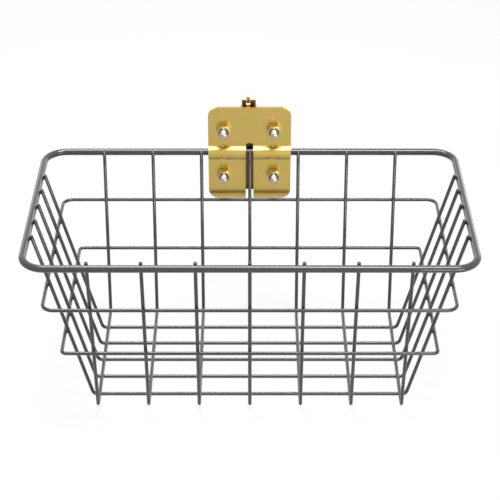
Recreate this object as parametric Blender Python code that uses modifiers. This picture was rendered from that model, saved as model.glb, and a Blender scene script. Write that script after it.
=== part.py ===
"""A wire basket that hangs in the slot of a cargo track.

The basket is welded from a thick rim loop, two thin hoops and two sets of bent
wires. A clamp of two plates grips the back of the rim with four bolts, and the
rear plate carries a hooked fitting with a sprung latch, which locks in the slot.

Lengths are in metres. X runs left to right, Y from front to back and Z up.
Pieces are placed from the centre of the rim, which is an empty. The origin is
under the middle of the whole part, level with its lowest wires.
"""

from math import acos, asin, atan2, copysign, cos, pi, radians, sin, sqrt, tan

import bmesh
import bpy
from mathutils import Matrix, Vector

# Clearances
SEAT_GAP = 0.0003            # between pieces that touch or are welded
CUT_OVERRUN = 0.002          # how far a cutter runs past what it cuts

# Wires
RIM_WIRE = 0.0072
WIRE = 0.0036

# Rim loop, along its centre line
RIM_LENGTH = 0.4276
RIM_DEPTH = 0.2276
RIM_CORNER = 0.0225

# Bent wires, along their centre lines
BASKET_DROP = 0.1808         # from the rim down to the front-back floor wires
FLOOR_LENGTH = 0.3180        # of a cross wire between its corners
FLOOR_FRONT = 0.0842         # from the rim's centre to a front-back wire's front corner
FLOOR_BACK = 0.0818          # and to its back corner
FRONT_STUB = 0.0038          # how far the wires' front ends stand above the rim's centre
BACK_STUB = 0.0028
CROSS_STUB = 0.0044
COLUMNS = 7
COLUMN_INSET = 0.0066        # from the floor's corners to the outer columns
FRONT_BACK_BEND = 0.0025
ROWS = 5
ROW_FRONT_INSET = 0.0227     # from the floor's front corner to the first row
ROW_BACK_INSET = 0.0253      # from the floor's back corner to the last row
CROSS_BEND = 0.005

# Hoops, below the rim
UPPER_HOOP_DROP = 0.0526
UPPER_HOOP_CORNER = 0.0105
LOWER_HOOP_DROP = 0.1081
LOWER_HOOP_CORNER = 0.0046

# Clamp plates
PLATE_WIDTH = 0.0866
PLATE_SHIFT = -0.0003        # of both plates, off the rim's centre
CLAMP_SHEET = 0.0032
CLAMP_UP = 0.0518            # from the rim's centre to the top edge
CLAMP_DOWN = 0.0553          # from the rim's centre to the bottom edge
PLATE_CORNER = 0.0102
CLAMP_GAP = 0.0015           # left between the two plates
CREASE_RADIUS = 0.0010       # inside the bends on both sides of the ridge
NOTCH_WIDTH = 0.0081         # notch that clears the middle wire
NOTCH_UP = 0.0109            # from the rim's centre to the notch's top
NOTCH_CORNER = 0.0030
NOTCH_MOUTH_ROUND = 0.0010
BACK_SHEET = 0.0027
BACK_UP = 0.0490
BACK_DOWN = 0.0474
BACK_CORNER = 0.0092
DENT_WIDTH = 0.0074          # dents pressed into the creases
DENT_LENGTH = 0.0058
DENT_DEPTH = 0.0015

# Bolts and lock nuts. Their pattern's middle is off the rim's centre.
PATTERN_SHIFT = -0.0011      # to the side, which the track fitting shares
PATTERN_RISE = 0.0005
BOLT_DIAMETER = 0.0080
BOLT_SPACING_X = 0.0525
BOLT_SPACING_Z = 0.0530
BOLT_LENGTH = 0.0250         # under the head
BOLT_TIP_ROUND = 0.0009
HEAD_DIAMETER = 0.0190
HEAD_HEIGHT = 0.0046
NECK_SIDE = 0.0086           # square neck under the head
NUT_FLATS = 0.0130
NUT_HEX_HEIGHT = 0.0063
NUT_COLLAR_DIAMETER = 0.0128
NUT_COLLAR_HEIGHT = 0.0022
NUT_LIP_ROUND = 0.0009
NUT_MOUTH_DIAMETER = 0.0104   # recess in the collar's front
NUT_MOUTH_DEPTH = 0.0012

# Track fitting, seen from the side. Its heights are from the rim's centre.
FITTING_WIDTH = 0.0146
FITTING_SHEET = 0.0023
FITTING_BEND = 0.0030        # outside the bends between web and cheeks
FITTING_TOP = 0.0564
FITTING_DOWN = 0.0400
FITTING_CORNER = 0.0030
TAB_SLOT_DEPTH = 0.0067      # slot in the web's top, which the thumb tab shows in
CHEEK_LEVEL = 0.0025         # level stretch of a cheek's top, before it slants down
CHEEK_SLANT = radians(36.0)
TRACK_STANDOFF = 0.0140      # from the web's front to the track's face
TRACK_SLOT_TOP = 0.0350
TRACK_SLOT_HEIGHT = 0.0603
THROAT = 0.0046              # between the track's face and a tongue
TONGUE = 0.0034
TONGUE_RISE = 0.0050         # upper tongue above the slot's top edge
TOE_DROP = 0.0062            # lower toe below the slot's bottom edge
LIFT = 0.0080                # room to lift the fitting out of the slot
TONGUE_ROUND = 0.0012

# Latch lever and its pin. The pin is below the fitting's top.
PIN_DIAMETER = 0.0030
PIN_DROP = 0.0087
PIN_HEAD_DIAMETER = 0.0044
PIN_HEAD = 0.0005
LEVER_SHEET = 0.0032
LEVER_SHIFT = -0.0006        # lever's middle from the fitting's
HUB_LIP = 0.0005             # lever's eye beyond the sleeve that holds the spring
ARM_SLANT = radians(20.0)
ARM_TRACK_GAP = 0.0010       # lever's arm in front of the track's face
NOSE_HEIGHT = 0.0045
NOSE_CLEARANCE = 0.0005      # under the slot's top edge
NOSE_REACH = 0.0034          # behind the track's face
NOSE_CHAMFER = 0.0015
TAB_RISE = 0.0114            # thumb tab above the pin
TAB_FRONT = 0.0017           # tab's front face before the pin's centre
TAB_SHEET = 0.0032
TAB_ROUND = 0.0010
HEEL_RISE = 0.0030           # heel that rests on the web, above the pin
HEEL_LOW = 0.0008
LEVER_ROUND = 0.0006

# Torsion spring round the lever's sleeve
SPRING_WIRE = 0.0006
SPRING_RADIUS = 0.0038
SPRING_WHOLE_TURNS = 2
SPRING_LEG = 0.0090
SPRING_POINTS = 10           # a turn

# Fineness of round shapes
BEND_STEPS = 4
CORNER_STEPS = 6
RIM_CORNER_STEPS = 10
ROUND_STEPS = 24
WIRE_RESOLUTION = 2
RIM_RESOLUTION = 4
SPRING_RESOLUTION = 1

# Colours are linear red, green and blue
GREY_COAT = ((0.085, 0.086, 0.088), 0.38, 0.35)
YELLOW_ZINC = ((0.52, 0.36, 0.095), 0.30, 1.0)
BRIGHT_ZINC = ((0.60, 0.56, 0.52), 0.28, 1.0)
DARK_ZINC = ((0.20, 0.11, 0.035), 0.38, 1.0)
SPRING_STEEL = ((0.24, 0.17, 0.10), 0.35, 1.0)

# Worked out from the sizes above
COLUMN_PITCH = (FLOOR_LENGTH - 2 * COLUMN_INSET) / (COLUMNS - 1)
ROW_PITCH = (FLOOR_FRONT + FLOOR_BACK - ROW_FRONT_INSET - ROW_BACK_INSET) / (ROWS - 1)
WIRE_SIDES = 2 * (WIRE_RESOLUTION + 2)
LOWEST_FACET = WIRE / 2 * cos(pi / WIRE_SIDES)
CROSS_DROP = BASKET_DROP + WIRE + SEAT_GAP
RIM_HEIGHT = CROSS_DROP + LOWEST_FACET
RIM_BACK = RIM_DEPTH / 2
BACK_PLATE_FRONT = RIM_BACK + RIM_WIRE / 2 + SEAT_GAP
BACK_PLATE_REAR = BACK_PLATE_FRONT + BACK_SHEET
FITTING_FRONT = BACK_PLATE_REAR + SEAT_GAP
TONGUE_FRONT = TRACK_STANDOFF + THROAT
FITTING_DEPTH = TONGUE_FRONT + TONGUE
FRONT_REACH = RIM_DEPTH / 2 + RIM_WIRE / 2
REAR_REACH = FITTING_FRONT + FITTING_DEPTH
RIM_CENTRE = Vector((0, (FRONT_REACH - REAR_REACH) / 2, RIM_HEIGHT))
TRACK_SLOT_BOTTOM = TRACK_SLOT_TOP - TRACK_SLOT_HEIGHT
CLAMP_BACK = BACK_PLATE_FRONT - CLAMP_GAP
CLAMP_MIDDLE = CLAMP_BACK - CLAMP_SHEET / 2
CLAMP_FRONT = CLAMP_BACK - CLAMP_SHEET
BOLT_HOLE = BOLT_DIAMETER / 2 + SEAT_GAP
SPRING_OUTER = SPRING_RADIUS + SPRING_WIRE / 2
SLEEVE_RADIUS = SPRING_RADIUS * cos(pi / SPRING_POINTS) - SPRING_WIRE / 2 - SEAT_GAP
EYE_RADIUS = SLEEVE_RADIUS + HUB_LIP
PIN_BACK = FITTING_SHEET + SEAT_GAP + SPRING_OUTER
PIN_HEIGHT = FITTING_TOP - PIN_DROP
PIN_BORE = PIN_DIAMETER / 2 + SEAT_GAP
CHANNEL = FITTING_WIDTH / 2 - FITTING_SHEET
LEVER_LEFT = LEVER_SHIFT - LEVER_SHEET / 2
LEVER_RIGHT = LEVER_SHIFT + LEVER_SHEET / 2
PIN_CENTRE = Vector((PATTERN_SHIFT, FITTING_FRONT + PIN_BACK, PIN_HEIGHT))

# Local axes of a profile seen from the side, and of a plate seen from the front
SIDE_VIEW = Matrix(((0, 0, 1), (1, 0, 0), (0, 1, 0))).to_4x4()
FRONT_VIEW = Matrix(((1, 0, 0), (0, 0, -1), (0, 1, 0))).to_4x4()


def clear_scene():
    """Remove every object that the file starts with."""
    for old in list(bpy.data.objects):
        bpy.data.objects.remove(old, do_unlink=True)


def collection(name):
    """A new collection under the scene."""
    group = bpy.data.collections.new(name)
    bpy.context.scene.collection.children.link(group)
    return group


def finish(name, look):
    """A material with a colour, a roughness and a metallic value."""
    colour, roughness, metallic = look
    material = bpy.data.materials.new(name)
    material.use_nodes = True
    shader = material.node_tree.nodes["Principled BSDF"]
    shader.inputs["Base Color"].default_value = (*colour, 1)
    shader.inputs["Roughness"].default_value = roughness
    shader.inputs["Metallic"].default_value = metallic
    material.diffuse_color = (*colour, 1)
    return material


def place(name, data, parent, matrix=None, group=None, look=None):
    """Link an object under its parent, with its own material if it has a look."""
    piece = bpy.data.objects.new(name, data)
    group.objects.link(piece)
    piece.parent = parent
    piece.matrix_local = matrix or Matrix()
    if look:
        if not data.materials:
            data.materials.append(None)
        piece.material_slots[0].link = "OBJECT"
        piece.material_slots[0].material = finish(name, look)
    return piece


def rounded(points, radii, steps, closed=False):
    """The points of a path whose corners are rounded, each by its own radius."""
    path = []
    last = len(points) - 1
    for index, (corner, radius) in enumerate(zip(points, radii)):
        if not radius or (not closed and index in (0, last)):
            path.append(corner.copy())
            continue
        back = (points[index - 1] - corner).normalized()
        ahead = (points[(index + 1) % len(points)] - corner).normalized()
        half = back.angle(ahead) / 2
        centre = corner + (back + ahead).normalized() * radius / sin(half)
        spoke = corner + back * radius / tan(half) - centre
        axis = (-back).cross(ahead)
        for step in range(steps + 1):
            turn = Matrix.Rotation((pi - 2 * half) * step / steps, 3, axis)
            path.append(centre + turn @ spoke)
    return path


def circle(radius, centre=(0, 0), steps=ROUND_STEPS):
    """Points round a circle in a profile's plane."""
    middle = Vector((*centre, 0))
    turns = (2 * pi * step / steps for step in range(steps))
    return [middle + Vector((cos(turn), sin(turn), 0)) * radius for turn in turns]


def flat(*pairs):
    """Points in a profile's plane."""
    return [Vector((*pair, 0)) for pair in pairs]


def bake(name, holder):
    """The mesh that an object shows with its modifiers, welded."""
    graph = bpy.context.evaluated_depsgraph_get()
    mesh = bpy.data.meshes.new_from_object(holder.evaluated_get(graph), depsgraph=graph)
    mesh.name = name
    weld = bmesh.new()
    weld.from_mesh(mesh)
    bmesh.ops.remove_doubles(weld, verts=weld.verts, dist=SEAT_GAP / 100)
    weld.to_mesh(mesh)
    weld.free()
    return mesh


def drawn(name, loops, closed=True):
    """A flat curve through one or more loops of points."""
    curve = bpy.data.curves.new(name, "CURVE")
    curve.dimensions = "2D"
    for loop in loops:
        spline = curve.splines.new("POLY")
        spline.points.add(len(loop) - 1)
        for point, place_at in zip(spline.points, loop):
            point.co = (*place_at, 1)
        spline.use_cyclic_u = closed
    return curve


def slab(name, outline, half_thickness, holes=()):
    """A flat outline with holes, as a solid mesh centred on its own plane."""
    curve = drawn(name, [outline, *holes])
    curve.fill_mode = "BOTH"
    curve.extrude = half_thickness
    holder = bpy.data.objects.new(name, curve)
    bpy.context.scene.collection.objects.link(holder)
    mesh = bake(name, holder)
    bpy.data.objects.remove(holder)
    bpy.data.curves.remove(curve)
    return mesh


def wire_curve(name, points, diameter, resolution, closed=False, roll=0.0):
    """A round wire along a path."""
    curve = bpy.data.curves.new(name, "CURVE")
    curve.dimensions = "3D"
    curve.bevel_depth = diameter / 2
    curve.bevel_resolution = resolution
    curve.use_fill_caps = True
    spline = curve.splines.new("POLY")
    spline.points.add(len(points) - 1)
    for point, place_at in zip(spline.points, points):
        point.co = (*place_at, 1)
        point.tilt = roll
    spline.use_cyclic_u = closed
    return curve


def cut(piece, cutter, operation="DIFFERENCE"):
    """Cut or join a piece with another mesh."""
    change = piece.modifiers.new(cutter.name, "BOOLEAN")
    change.operation = operation
    change.object = cutter
    change.solver = "EXACT"


def guide(name, mesh, parent, group, matrix=None):
    """A shape that only cuts or joins, and isn't part of the object."""
    shape = place(name, mesh, parent, matrix, group)
    shape.hide_render = True
    shape.display_type = "WIRE"
    return shape


def leg_line(rim_half, floor_half, drop):
    """Where a wire's leg crosses the rim's plane, and its slope off the vertical.

    The leg rises from the floor's corner and touches the rim on its inner side.
    """
    touch = (RIM_WIRE + WIRE) / 2 + SEAT_GAP
    run = rim_half - floor_half
    reach = sqrt(run * run + drop * drop)
    slope = atan2(run, drop) - asin(touch / reach)
    return floor_half + drop * tan(slope), slope


def leg_at(rim_half, floor_half, drop, below):
    """How far out a leg's centre line is at a depth below the rim."""
    crossing, slope = leg_line(rim_half, floor_half, drop)
    return crossing - below * tan(slope)


def bent_wire(axis, rim_half, near, far, drop, bend, stubs):
    """The path of a U-shaped wire along an axis, from its near stub to its far one."""
    near_stub, far_stub = stubs
    up = Vector((0, 0, 1))
    corners = [
        axis * -leg_at(rim_half, near, drop, -near_stub) + up * near_stub,
        axis * -near - up * drop,
        axis * far - up * drop,
        axis * leg_at(rim_half, far, drop, -far_stub) + up * far_stub,
    ]
    return rounded(corners, [0, bend, bend, 0], BEND_STEPS)


def loop_path(half_length, half_depth, corner, steps):
    """A level rectangle with rounded corners, starting at its front left."""
    corners = [
        Vector((-half_length, -half_depth, 0)),
        Vector((half_length, -half_depth, 0)),
        Vector((half_length, half_depth, 0)),
        Vector((-half_length, half_depth, 0)),
    ]
    return rounded(corners, [corner] * len(corners), steps, closed=True)


def build_rim(centre, group):
    """The thick loop round the basket's mouth."""
    path = loop_path(RIM_LENGTH / 2, RIM_DEPTH / 2, RIM_CORNER, RIM_CORNER_STEPS)
    rim = wire_curve("rim", path, RIM_WIRE, RIM_RESOLUTION, closed=True)
    place("rim", rim, centre, group=group, look=GREY_COAT)


def build_hoops(centre, group):
    """The two thin loops round the outside of the bent wires."""
    hoops = (
        ("upper_hoop", UPPER_HOOP_DROP, UPPER_HOOP_CORNER),
        ("lower_hoop", LOWER_HOOP_DROP, LOWER_HOOP_CORNER),
    )
    walls = (
        (RIM_LENGTH / 2, FLOOR_LENGTH / 2, CROSS_DROP),
        (RIM_DEPTH / 2, FLOOR_FRONT, BASKET_DROP),
        (RIM_DEPTH / 2, FLOOR_BACK, BASKET_DROP),
    )
    for name, below, corner in hoops:
        side, front, back = (
            leg_at(*wall, below) + (WIRE + SEAT_GAP) / cos(leg_line(*wall)[1])
            for wall in walls
        )
        path = loop_path(side, (front + back) / 2, corner, CORNER_STEPS)
        hoop = wire_curve(name, path, WIRE, WIRE_RESOLUTION, closed=True)
        matrix = Matrix.Translation((0, (back - front) / 2, -below))
        place(name, hoop, centre, matrix, group, GREY_COAT)


def build_bent_wires(centre, group):
    """The U-shaped wires that run front to back, and those that run across."""
    roll = pi / WIRE_SIDES
    path = bent_wire(
        Vector((0, 1, 0)), RIM_DEPTH / 2, FLOOR_FRONT, FLOOR_BACK, BASKET_DROP,
        FRONT_BACK_BEND, (FRONT_STUB, BACK_STUB))
    for column in range(COLUMNS):
        name = f"front_back_wire_{column + 1}"
        wire = wire_curve(name, path, WIRE, WIRE_RESOLUTION, roll=roll)
        side = (column - (COLUMNS - 1) / 2) * COLUMN_PITCH
        place(name, wire, centre, Matrix.Translation((side, 0, 0)), group, GREY_COAT)
    half = FLOOR_LENGTH / 2
    path = bent_wire(
        Vector((1, 0, 0)), RIM_LENGTH / 2, half, half, CROSS_DROP,
        CROSS_BEND, (CROSS_STUB, CROSS_STUB))
    for row in range(ROWS):
        name = f"cross_wire_{row + 1}"
        wire = wire_curve(name, path, WIRE, WIRE_RESOLUTION, roll=roll)
        back = ROW_FRONT_INSET - FLOOR_FRONT + row * ROW_PITCH
        place(name, wire, centre, Matrix.Translation((0, back, 0)), group, GREY_COAT)


def bolt_places():
    """The four bolt centres, as seen from the front."""
    for height in (1, -1):
        for side in (-1, 1):
            across_plate = PATTERN_SHIFT + side * BOLT_SPACING_X / 2
            yield across_plate, PATTERN_RISE + height * BOLT_SPACING_Z / 2


def crease_bend():
    """The centre of the bend above the ridge, seen from the side, and its turn."""
    reach = RIM_WIRE / 2 + SEAT_GAP + CLAMP_SHEET + CREASE_RADIUS
    inset = CLAMP_FRONT - CREASE_RADIUS - RIM_BACK
    rise = sqrt(reach ** 2 - inset ** 2)
    return Vector((inset, rise, 0)), atan2(rise, -inset)


def clamp_section():
    """The middle line of the clamp plate, round the rim, from top to bottom."""
    ridge = RIM_WIRE / 2 + SEAT_GAP + CLAMP_SHEET / 2
    crease = CREASE_RADIUS + CLAMP_SHEET / 2
    middle = CLAMP_MIDDLE - RIM_BACK
    bend, turn = crease_bend()
    upper = [Vector((middle, CLAMP_UP + CUT_OVERRUN, 0))]
    for step in range(BEND_STEPS + 1):
        angle = -turn * step / BEND_STEPS
        upper.append(bend + Vector((cos(angle), sin(angle), 0)) * crease)
    start = pi - turn
    steps = ROUND_STEPS // 2
    nose = []
    for step in range(1, steps):
        angle = start + (2 * pi - 2 * start) * step / steps
        nose.append(Vector((cos(angle), sin(angle), 0)) * ridge)
    lower = [Vector((point.x, -point.y, 0)) for point in reversed(upper[1:])]
    lower.append(Vector((middle, -CLAMP_DOWN - CUT_OVERRUN, 0)))
    return upper + nose + lower


def clamp_outline():
    """The front plate's outline, with the notch for the middle wire."""
    half = PLATE_WIDTH / 2
    notch = NOTCH_WIDTH / 2
    corners = flat(
        (PLATE_SHIFT - half, -CLAMP_DOWN),
        (PLATE_SHIFT - notch, -CLAMP_DOWN),
        (PLATE_SHIFT - notch, NOTCH_UP),
        (PLATE_SHIFT + notch, NOTCH_UP),
        (PLATE_SHIFT + notch, -CLAMP_DOWN),
        (PLATE_SHIFT + half, -CLAMP_DOWN),
        (PLATE_SHIFT + half, CLAMP_UP),
        (PLATE_SHIFT - half, CLAMP_UP),
    )
    radii = [
        PLATE_CORNER, NOTCH_MOUTH_ROUND, NOTCH_CORNER, NOTCH_CORNER,
        NOTCH_MOUTH_ROUND, PLATE_CORNER, PLATE_CORNER, PLATE_CORNER,
    ]
    return rounded(corners, radii, BEND_STEPS, closed=True)


def dents():
    """Cutters for the dents in the creases above and below the ridge."""
    mesh = bpy.data.meshes.new("dents")
    shape = bmesh.new()
    bend, turn = crease_bend()
    size = Matrix.Diagonal((DENT_WIDTH / 2, CREASE_RADIUS + DENT_DEPTH, DENT_LENGTH / 2, 1))
    for side, height in bolt_places():
        upward = copysign(1, height)
        tilt = Matrix.Rotation(-upward * turn / 2, 4, "X")
        seat = Matrix.Translation((side, bend.x, upward * bend.y))
        bmesh.ops.create_uvsphere(
            shape, u_segments=BEND_STEPS * 3, v_segments=BEND_STEPS * 2, radius=1,
            matrix=seat @ tilt @ size,
        )
    shape.to_mesh(mesh)
    shape.free()
    return mesh


def build_clamp_plate(centre, group, cutters):
    """The front plate, which wraps the rim in a half-round ridge."""
    ribbon = drawn("clamp_plate", [clamp_section()], closed=False)
    ribbon.fill_mode = "NONE"
    ribbon.extrude = PLATE_WIDTH / 2 + CUT_OVERRUN
    holder = place("clamp_ribbon", ribbon, centre, group=group)
    mesh = bake("clamp_plate", holder)
    bpy.data.objects.remove(holder)
    bpy.data.curves.remove(ribbon)
    matrix = Matrix.Translation((0, RIM_BACK, 0)) @ SIDE_VIEW
    plate = place("clamp_plate", mesh, centre, matrix, group, YELLOW_ZINC)
    sheet = plate.modifiers.new("sheet", "SOLIDIFY")
    sheet.thickness = CLAMP_SHEET
    sheet.offset = 0
    sheet.use_even_offset = True
    presses = guide("dents", dents(), centre, cutters, Matrix.Translation((0, RIM_BACK, 0)))
    cut(plate, presses)
    holes = [circle(BOLT_HOLE, spot) for spot in bolt_places()]
    depth = RIM_WIRE + CLAMP_SHEET + CUT_OVERRUN
    blank = slab("clamp_outline", clamp_outline(), depth, holes)
    matrix = Matrix.Translation((0, RIM_BACK, 0)) @ FRONT_VIEW
    cut(plate, guide("clamp_outline", blank, centre, cutters, matrix), "INTERSECT")


def build_back_plate(centre, group):
    """The flat plate behind the rim, with a square hole for each bolt's neck."""
    half = PLATE_WIDTH / 2
    left, right = PLATE_SHIFT - half, PLATE_SHIFT + half
    corners = flat((left, -BACK_DOWN), (right, -BACK_DOWN), (right, BACK_UP), (left, BACK_UP))
    outline = rounded(corners, [BACK_CORNER] * len(corners), BEND_STEPS, closed=True)
    holes = []
    hole = NECK_SIDE / 2 + SEAT_GAP
    for side, height in bolt_places():
        holes.append(flat(
            (side - hole, height - hole), (side + hole, height - hole),
            (side + hole, height + hole), (side - hole, height + hole),
        ))
    mesh = slab("back_plate", outline, BACK_SHEET / 2, holes)
    matrix = Matrix.Translation((0, BACK_PLATE_FRONT + BACK_SHEET / 2, 0)) @ FRONT_VIEW
    place("back_plate", mesh, centre, matrix, group, YELLOW_ZINC)


def turned(name, profile, steps=ROUND_STEPS):
    """A solid turned about Z from a profile that runs down its outer side."""
    mesh = bpy.data.meshes.new(name)
    shape = bmesh.new()
    points = [shape.verts.new((radius, 0, height)) for radius, height in profile]
    for upper, lower in zip(points, points[1:]):
        shape.edges.new((upper, lower))
    shape.to_mesh(mesh)
    shape.free()
    piece = bpy.data.objects.new(name, mesh)
    bpy.context.scene.collection.objects.link(piece)
    screw = piece.modifiers.new("turn", "SCREW")
    screw.steps = steps
    screw.render_steps = steps
    screw.use_merge_vertices = True
    screw.merge_threshold = SEAT_GAP / 100
    baked = bake(name, piece)
    bpy.data.objects.remove(piece)
    return baked


def bolt_mesh(centre, cutters):
    """A round-headed bolt with a square neck, its axis along Z and tip up."""
    length = BOLT_LENGTH
    shank = BOLT_DIAMETER / 2
    head = HEAD_DIAMETER / 2
    ball = (head * head + HEAD_HEIGHT * HEAD_HEIGHT) / (2 * HEAD_HEIGHT)
    profile = [(0, length), (shank - BOLT_TIP_ROUND, length), (shank, length - BOLT_TIP_ROUND)]
    profile += [(shank, 0), (head, 0)]
    for step in range(1, BEND_STEPS):
        drop = HEAD_HEIGHT * step / BEND_STEPS
        level = ball - HEAD_HEIGHT + drop
        profile.append((sqrt(ball * ball - level * level), -drop))
    profile.append((0, -HEAD_HEIGHT))
    body = place("bolt_body", turned("bolt", profile), centre, group=cutters)
    neck = bpy.data.meshes.new("neck")
    shape = bmesh.new()
    neck_length = BACK_SHEET + HEAD_HEIGHT / 2
    size = Matrix.Diagonal((NECK_SIDE, NECK_SIDE, neck_length, 1))
    middle = Matrix.Translation((0, 0, BACK_SHEET - neck_length / 2))
    bmesh.ops.create_cube(shape, size=1, matrix=middle @ size)
    shape.to_mesh(neck)
    shape.free()
    collar = place("bolt_neck", neck, centre, group=cutters)
    cut(body, collar, "UNION")
    mesh = bake("bolt", body)
    bpy.data.objects.remove(body)
    bpy.data.objects.remove(collar)
    return mesh


def nut_mesh(centre, cutters):
    """A hexagon nut with a hollow round collar, its axis along Z and collar up."""
    corner = NUT_FLATS / 2 / cos(pi / 6)
    hexagon = circle(corner, steps=6)
    middle = Matrix.Translation((0, 0, NUT_HEX_HEIGHT / 2))
    body = place("nut_body", slab("nut", hexagon, NUT_HEX_HEIGHT / 2), centre, middle, cutters)
    top = NUT_HEX_HEIGHT + NUT_COLLAR_HEIGHT
    ring = NUT_COLLAR_DIAMETER / 2
    round_turns = [pi / 2 * step / BEND_STEPS for step in range(BEND_STEPS + 1)]
    collar_profile = [(0, top)]
    for turn in round_turns:
        radius = ring - NUT_LIP_ROUND * (1 - sin(turn))
        collar_profile.append((radius, top - NUT_LIP_ROUND * (1 - cos(turn))))
    collar_profile += [(ring, NUT_HEX_HEIGHT / 2), (0, NUT_HEX_HEIGHT / 2)]
    collar = place("nut_collar", turned("collar", collar_profile), centre, group=cutters)
    mouth = NUT_MOUTH_DIAMETER / 2
    floor = top - NUT_MOUTH_DEPTH
    bore_profile = [(0, top + CUT_OVERRUN), (mouth, top + CUT_OVERRUN), (mouth, floor)]
    bore_profile += [(BOLT_HOLE, floor), (BOLT_HOLE, -CUT_OVERRUN), (0, -CUT_OVERRUN)]
    bore = place("nut_bore", turned("bore", bore_profile), centre, group=cutters)
    cut(body, collar, "UNION")
    cut(body, bore)
    mesh = bake("nut", body)
    mesh.transform(middle)
    for helper in (body, collar, bore):
        bpy.data.objects.remove(helper)
    return mesh


def build_fasteners(centre, group, cutters):
    """Four bolts through both plates, and the lock nuts on their front ends."""
    bolt = bolt_mesh(centre, cutters)
    nut = nut_mesh(centre, cutters)
    forward = Matrix.Rotation(pi / 2, 4, "X")
    for number, (side, height) in enumerate(bolt_places(), start=1):
        seat = Matrix.Translation((side, BACK_PLATE_REAR + SEAT_GAP, height))
        place(f"clamp_bolt_{number}", bolt, centre, seat @ forward, group, BRIGHT_ZINC)
        seat = Matrix.Translation((side, CLAMP_FRONT - SEAT_GAP, height))
        place(f"lock_nut_{number}", nut, centre, seat @ forward, group, YELLOW_ZINC)


def fitting_outline():
    """The fitting's side outline: back from the web's front, and up from the rim."""
    pass_top = TRACK_SLOT_TOP - LIFT
    bottom = -FITTING_DOWN
    tongue_top = TRACK_SLOT_TOP + TONGUE_RISE
    toe = TRACK_SLOT_BOTTOM - TOE_DROP
    shoulder = FITTING_TOP - (TRACK_STANDOFF - CHEEK_LEVEL) * tan(CHEEK_SLANT)
    corners = flat(
        (0, FITTING_TOP), (0, bottom), (TRACK_STANDOFF, bottom),
        (TRACK_STANDOFF, TRACK_SLOT_BOTTOM), (TONGUE_FRONT, TRACK_SLOT_BOTTOM),
        (TONGUE_FRONT, toe), (FITTING_DEPTH, toe), (FITTING_DEPTH, tongue_top),
        (TONGUE_FRONT, tongue_top), (TONGUE_FRONT, pass_top),
        (TRACK_STANDOFF, pass_top), (TRACK_STANDOFF, shoulder), (CHEEK_LEVEL, FITTING_TOP),
    )
    tip = TONGUE_ROUND
    corner = FITTING_CORNER
    radii = [tip, 0, corner, 0, 0, tip, tip, tip, tip, 0, 0, corner, corner]
    return rounded(corners, radii, BEND_STEPS, closed=True)


def channel_outline():
    """The fitting's outline seen from above: a web between two cheeks, bent from sheet."""
    half = FITTING_WIDTH / 2
    rear = FITTING_DEPTH + CUT_OVERRUN
    inner = FITTING_BEND - FITTING_SHEET
    corners = flat(
        (-half, rear), (-half, 0), (half, 0), (half, rear),
        (CHANNEL, rear), (CHANNEL, FITTING_SHEET), (-CHANNEL, FITTING_SHEET), (-CHANNEL, rear),
    )
    radii = [0, FITTING_BEND, FITTING_BEND, 0, 0, inner, inner, 0]
    return rounded(corners, radii, BEND_STEPS, closed=True)


def build_fitting(centre, group, cutters):
    """The channel behind the rear plate, whose cheeks hook into the track."""
    hole = circle(PIN_BORE, (PIN_BACK, PIN_HEIGHT))
    past = FITTING_WIDTH / 2 + CUT_OVERRUN
    mesh = slab("track_fitting", fitting_outline(), past, [hole])
    seat = Matrix.Translation((PATTERN_SHIFT, FITTING_FRONT, 0))
    fitting = place("track_fitting", mesh, centre, seat @ SIDE_VIEW, group, DARK_ZINC)
    channel = slab("channel", channel_outline(), FITTING_TOP + CUT_OVERRUN)
    cut(fitting, guide("channel", channel, centre, cutters, seat), "INTERSECT")
    low = FITTING_TOP - TAB_SLOT_DEPTH
    high = FITTING_TOP + CUT_OVERRUN
    rear = FITTING_SHEET + CUT_OVERRUN
    opening = flat((-CUT_OVERRUN, low), (rear, low), (rear, high), (-CUT_OVERRUN, high))
    slot = slab("tab_slot", opening, LEVER_SHEET / 2 + SEAT_GAP)
    matrix = seat @ Matrix.Translation((LEVER_SHIFT, 0, 0)) @ SIDE_VIEW
    cut(fitting, guide("tab_slot", slot, centre, cutters, matrix))


def arm_front(distance, along):
    """A point in front of the pin, beside the slanted arm and along it."""
    return Vector((
        along * sin(ARM_SLANT) - distance * cos(ARM_SLANT),
        -along * cos(ARM_SLANT) - distance * sin(ARM_SLANT), 0))


def lever_outline():
    """The lever's side outline about its pin: thumb tab, heel, arm and nose."""
    nose_top = TRACK_SLOT_TOP - NOSE_CLEARANCE - PIN_HEIGHT
    nose_low = nose_top - NOSE_HEIGHT
    reach = TRACK_STANDOFF + NOSE_REACH - PIN_BACK
    arm_back = TRACK_STANDOFF - ARM_TRACK_GAP - PIN_BACK
    arm_length = (-nose_low - EYE_RADIUS * sin(ARM_SLANT)) / cos(ARM_SLANT)
    rear = arm_front(-EYE_RADIUS, 0)
    knee = (arm_back - rear.x) / sin(ARM_SLANT)
    heel = -SPRING_OUTER
    tab_back = TAB_SHEET - TAB_FRONT
    corners = [
        arm_front(EYE_RADIUS, 0),
        arm_front(EYE_RADIUS, arm_length),
        *flat(
            (reach - NOSE_CHAMFER, nose_low),
            (reach, nose_low + NOSE_CHAMFER),
            (reach, nose_top),
            (arm_back, nose_top),
        ),
        arm_front(-EYE_RADIUS, knee),
        rear,
        *flat(
            (EYE_RADIUS * cos(pi / 4), EYE_RADIUS * sin(pi / 4)),
            (tab_back, EYE_RADIUS + LEVER_ROUND),
            (tab_back, TAB_RISE),
            (-TAB_FRONT, TAB_RISE),
            (-TAB_FRONT, HEEL_RISE),
            (heel, HEEL_RISE),
            (heel, HEEL_LOW),
        ),
    ]
    small = LEVER_ROUND
    tab = TAB_ROUND
    radii = [0, small, small, small, small, 0, small, 0, 0, small, tab, tab, small, small, 0]
    return rounded(corners, radii, BEND_STEPS, closed=True)


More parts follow.
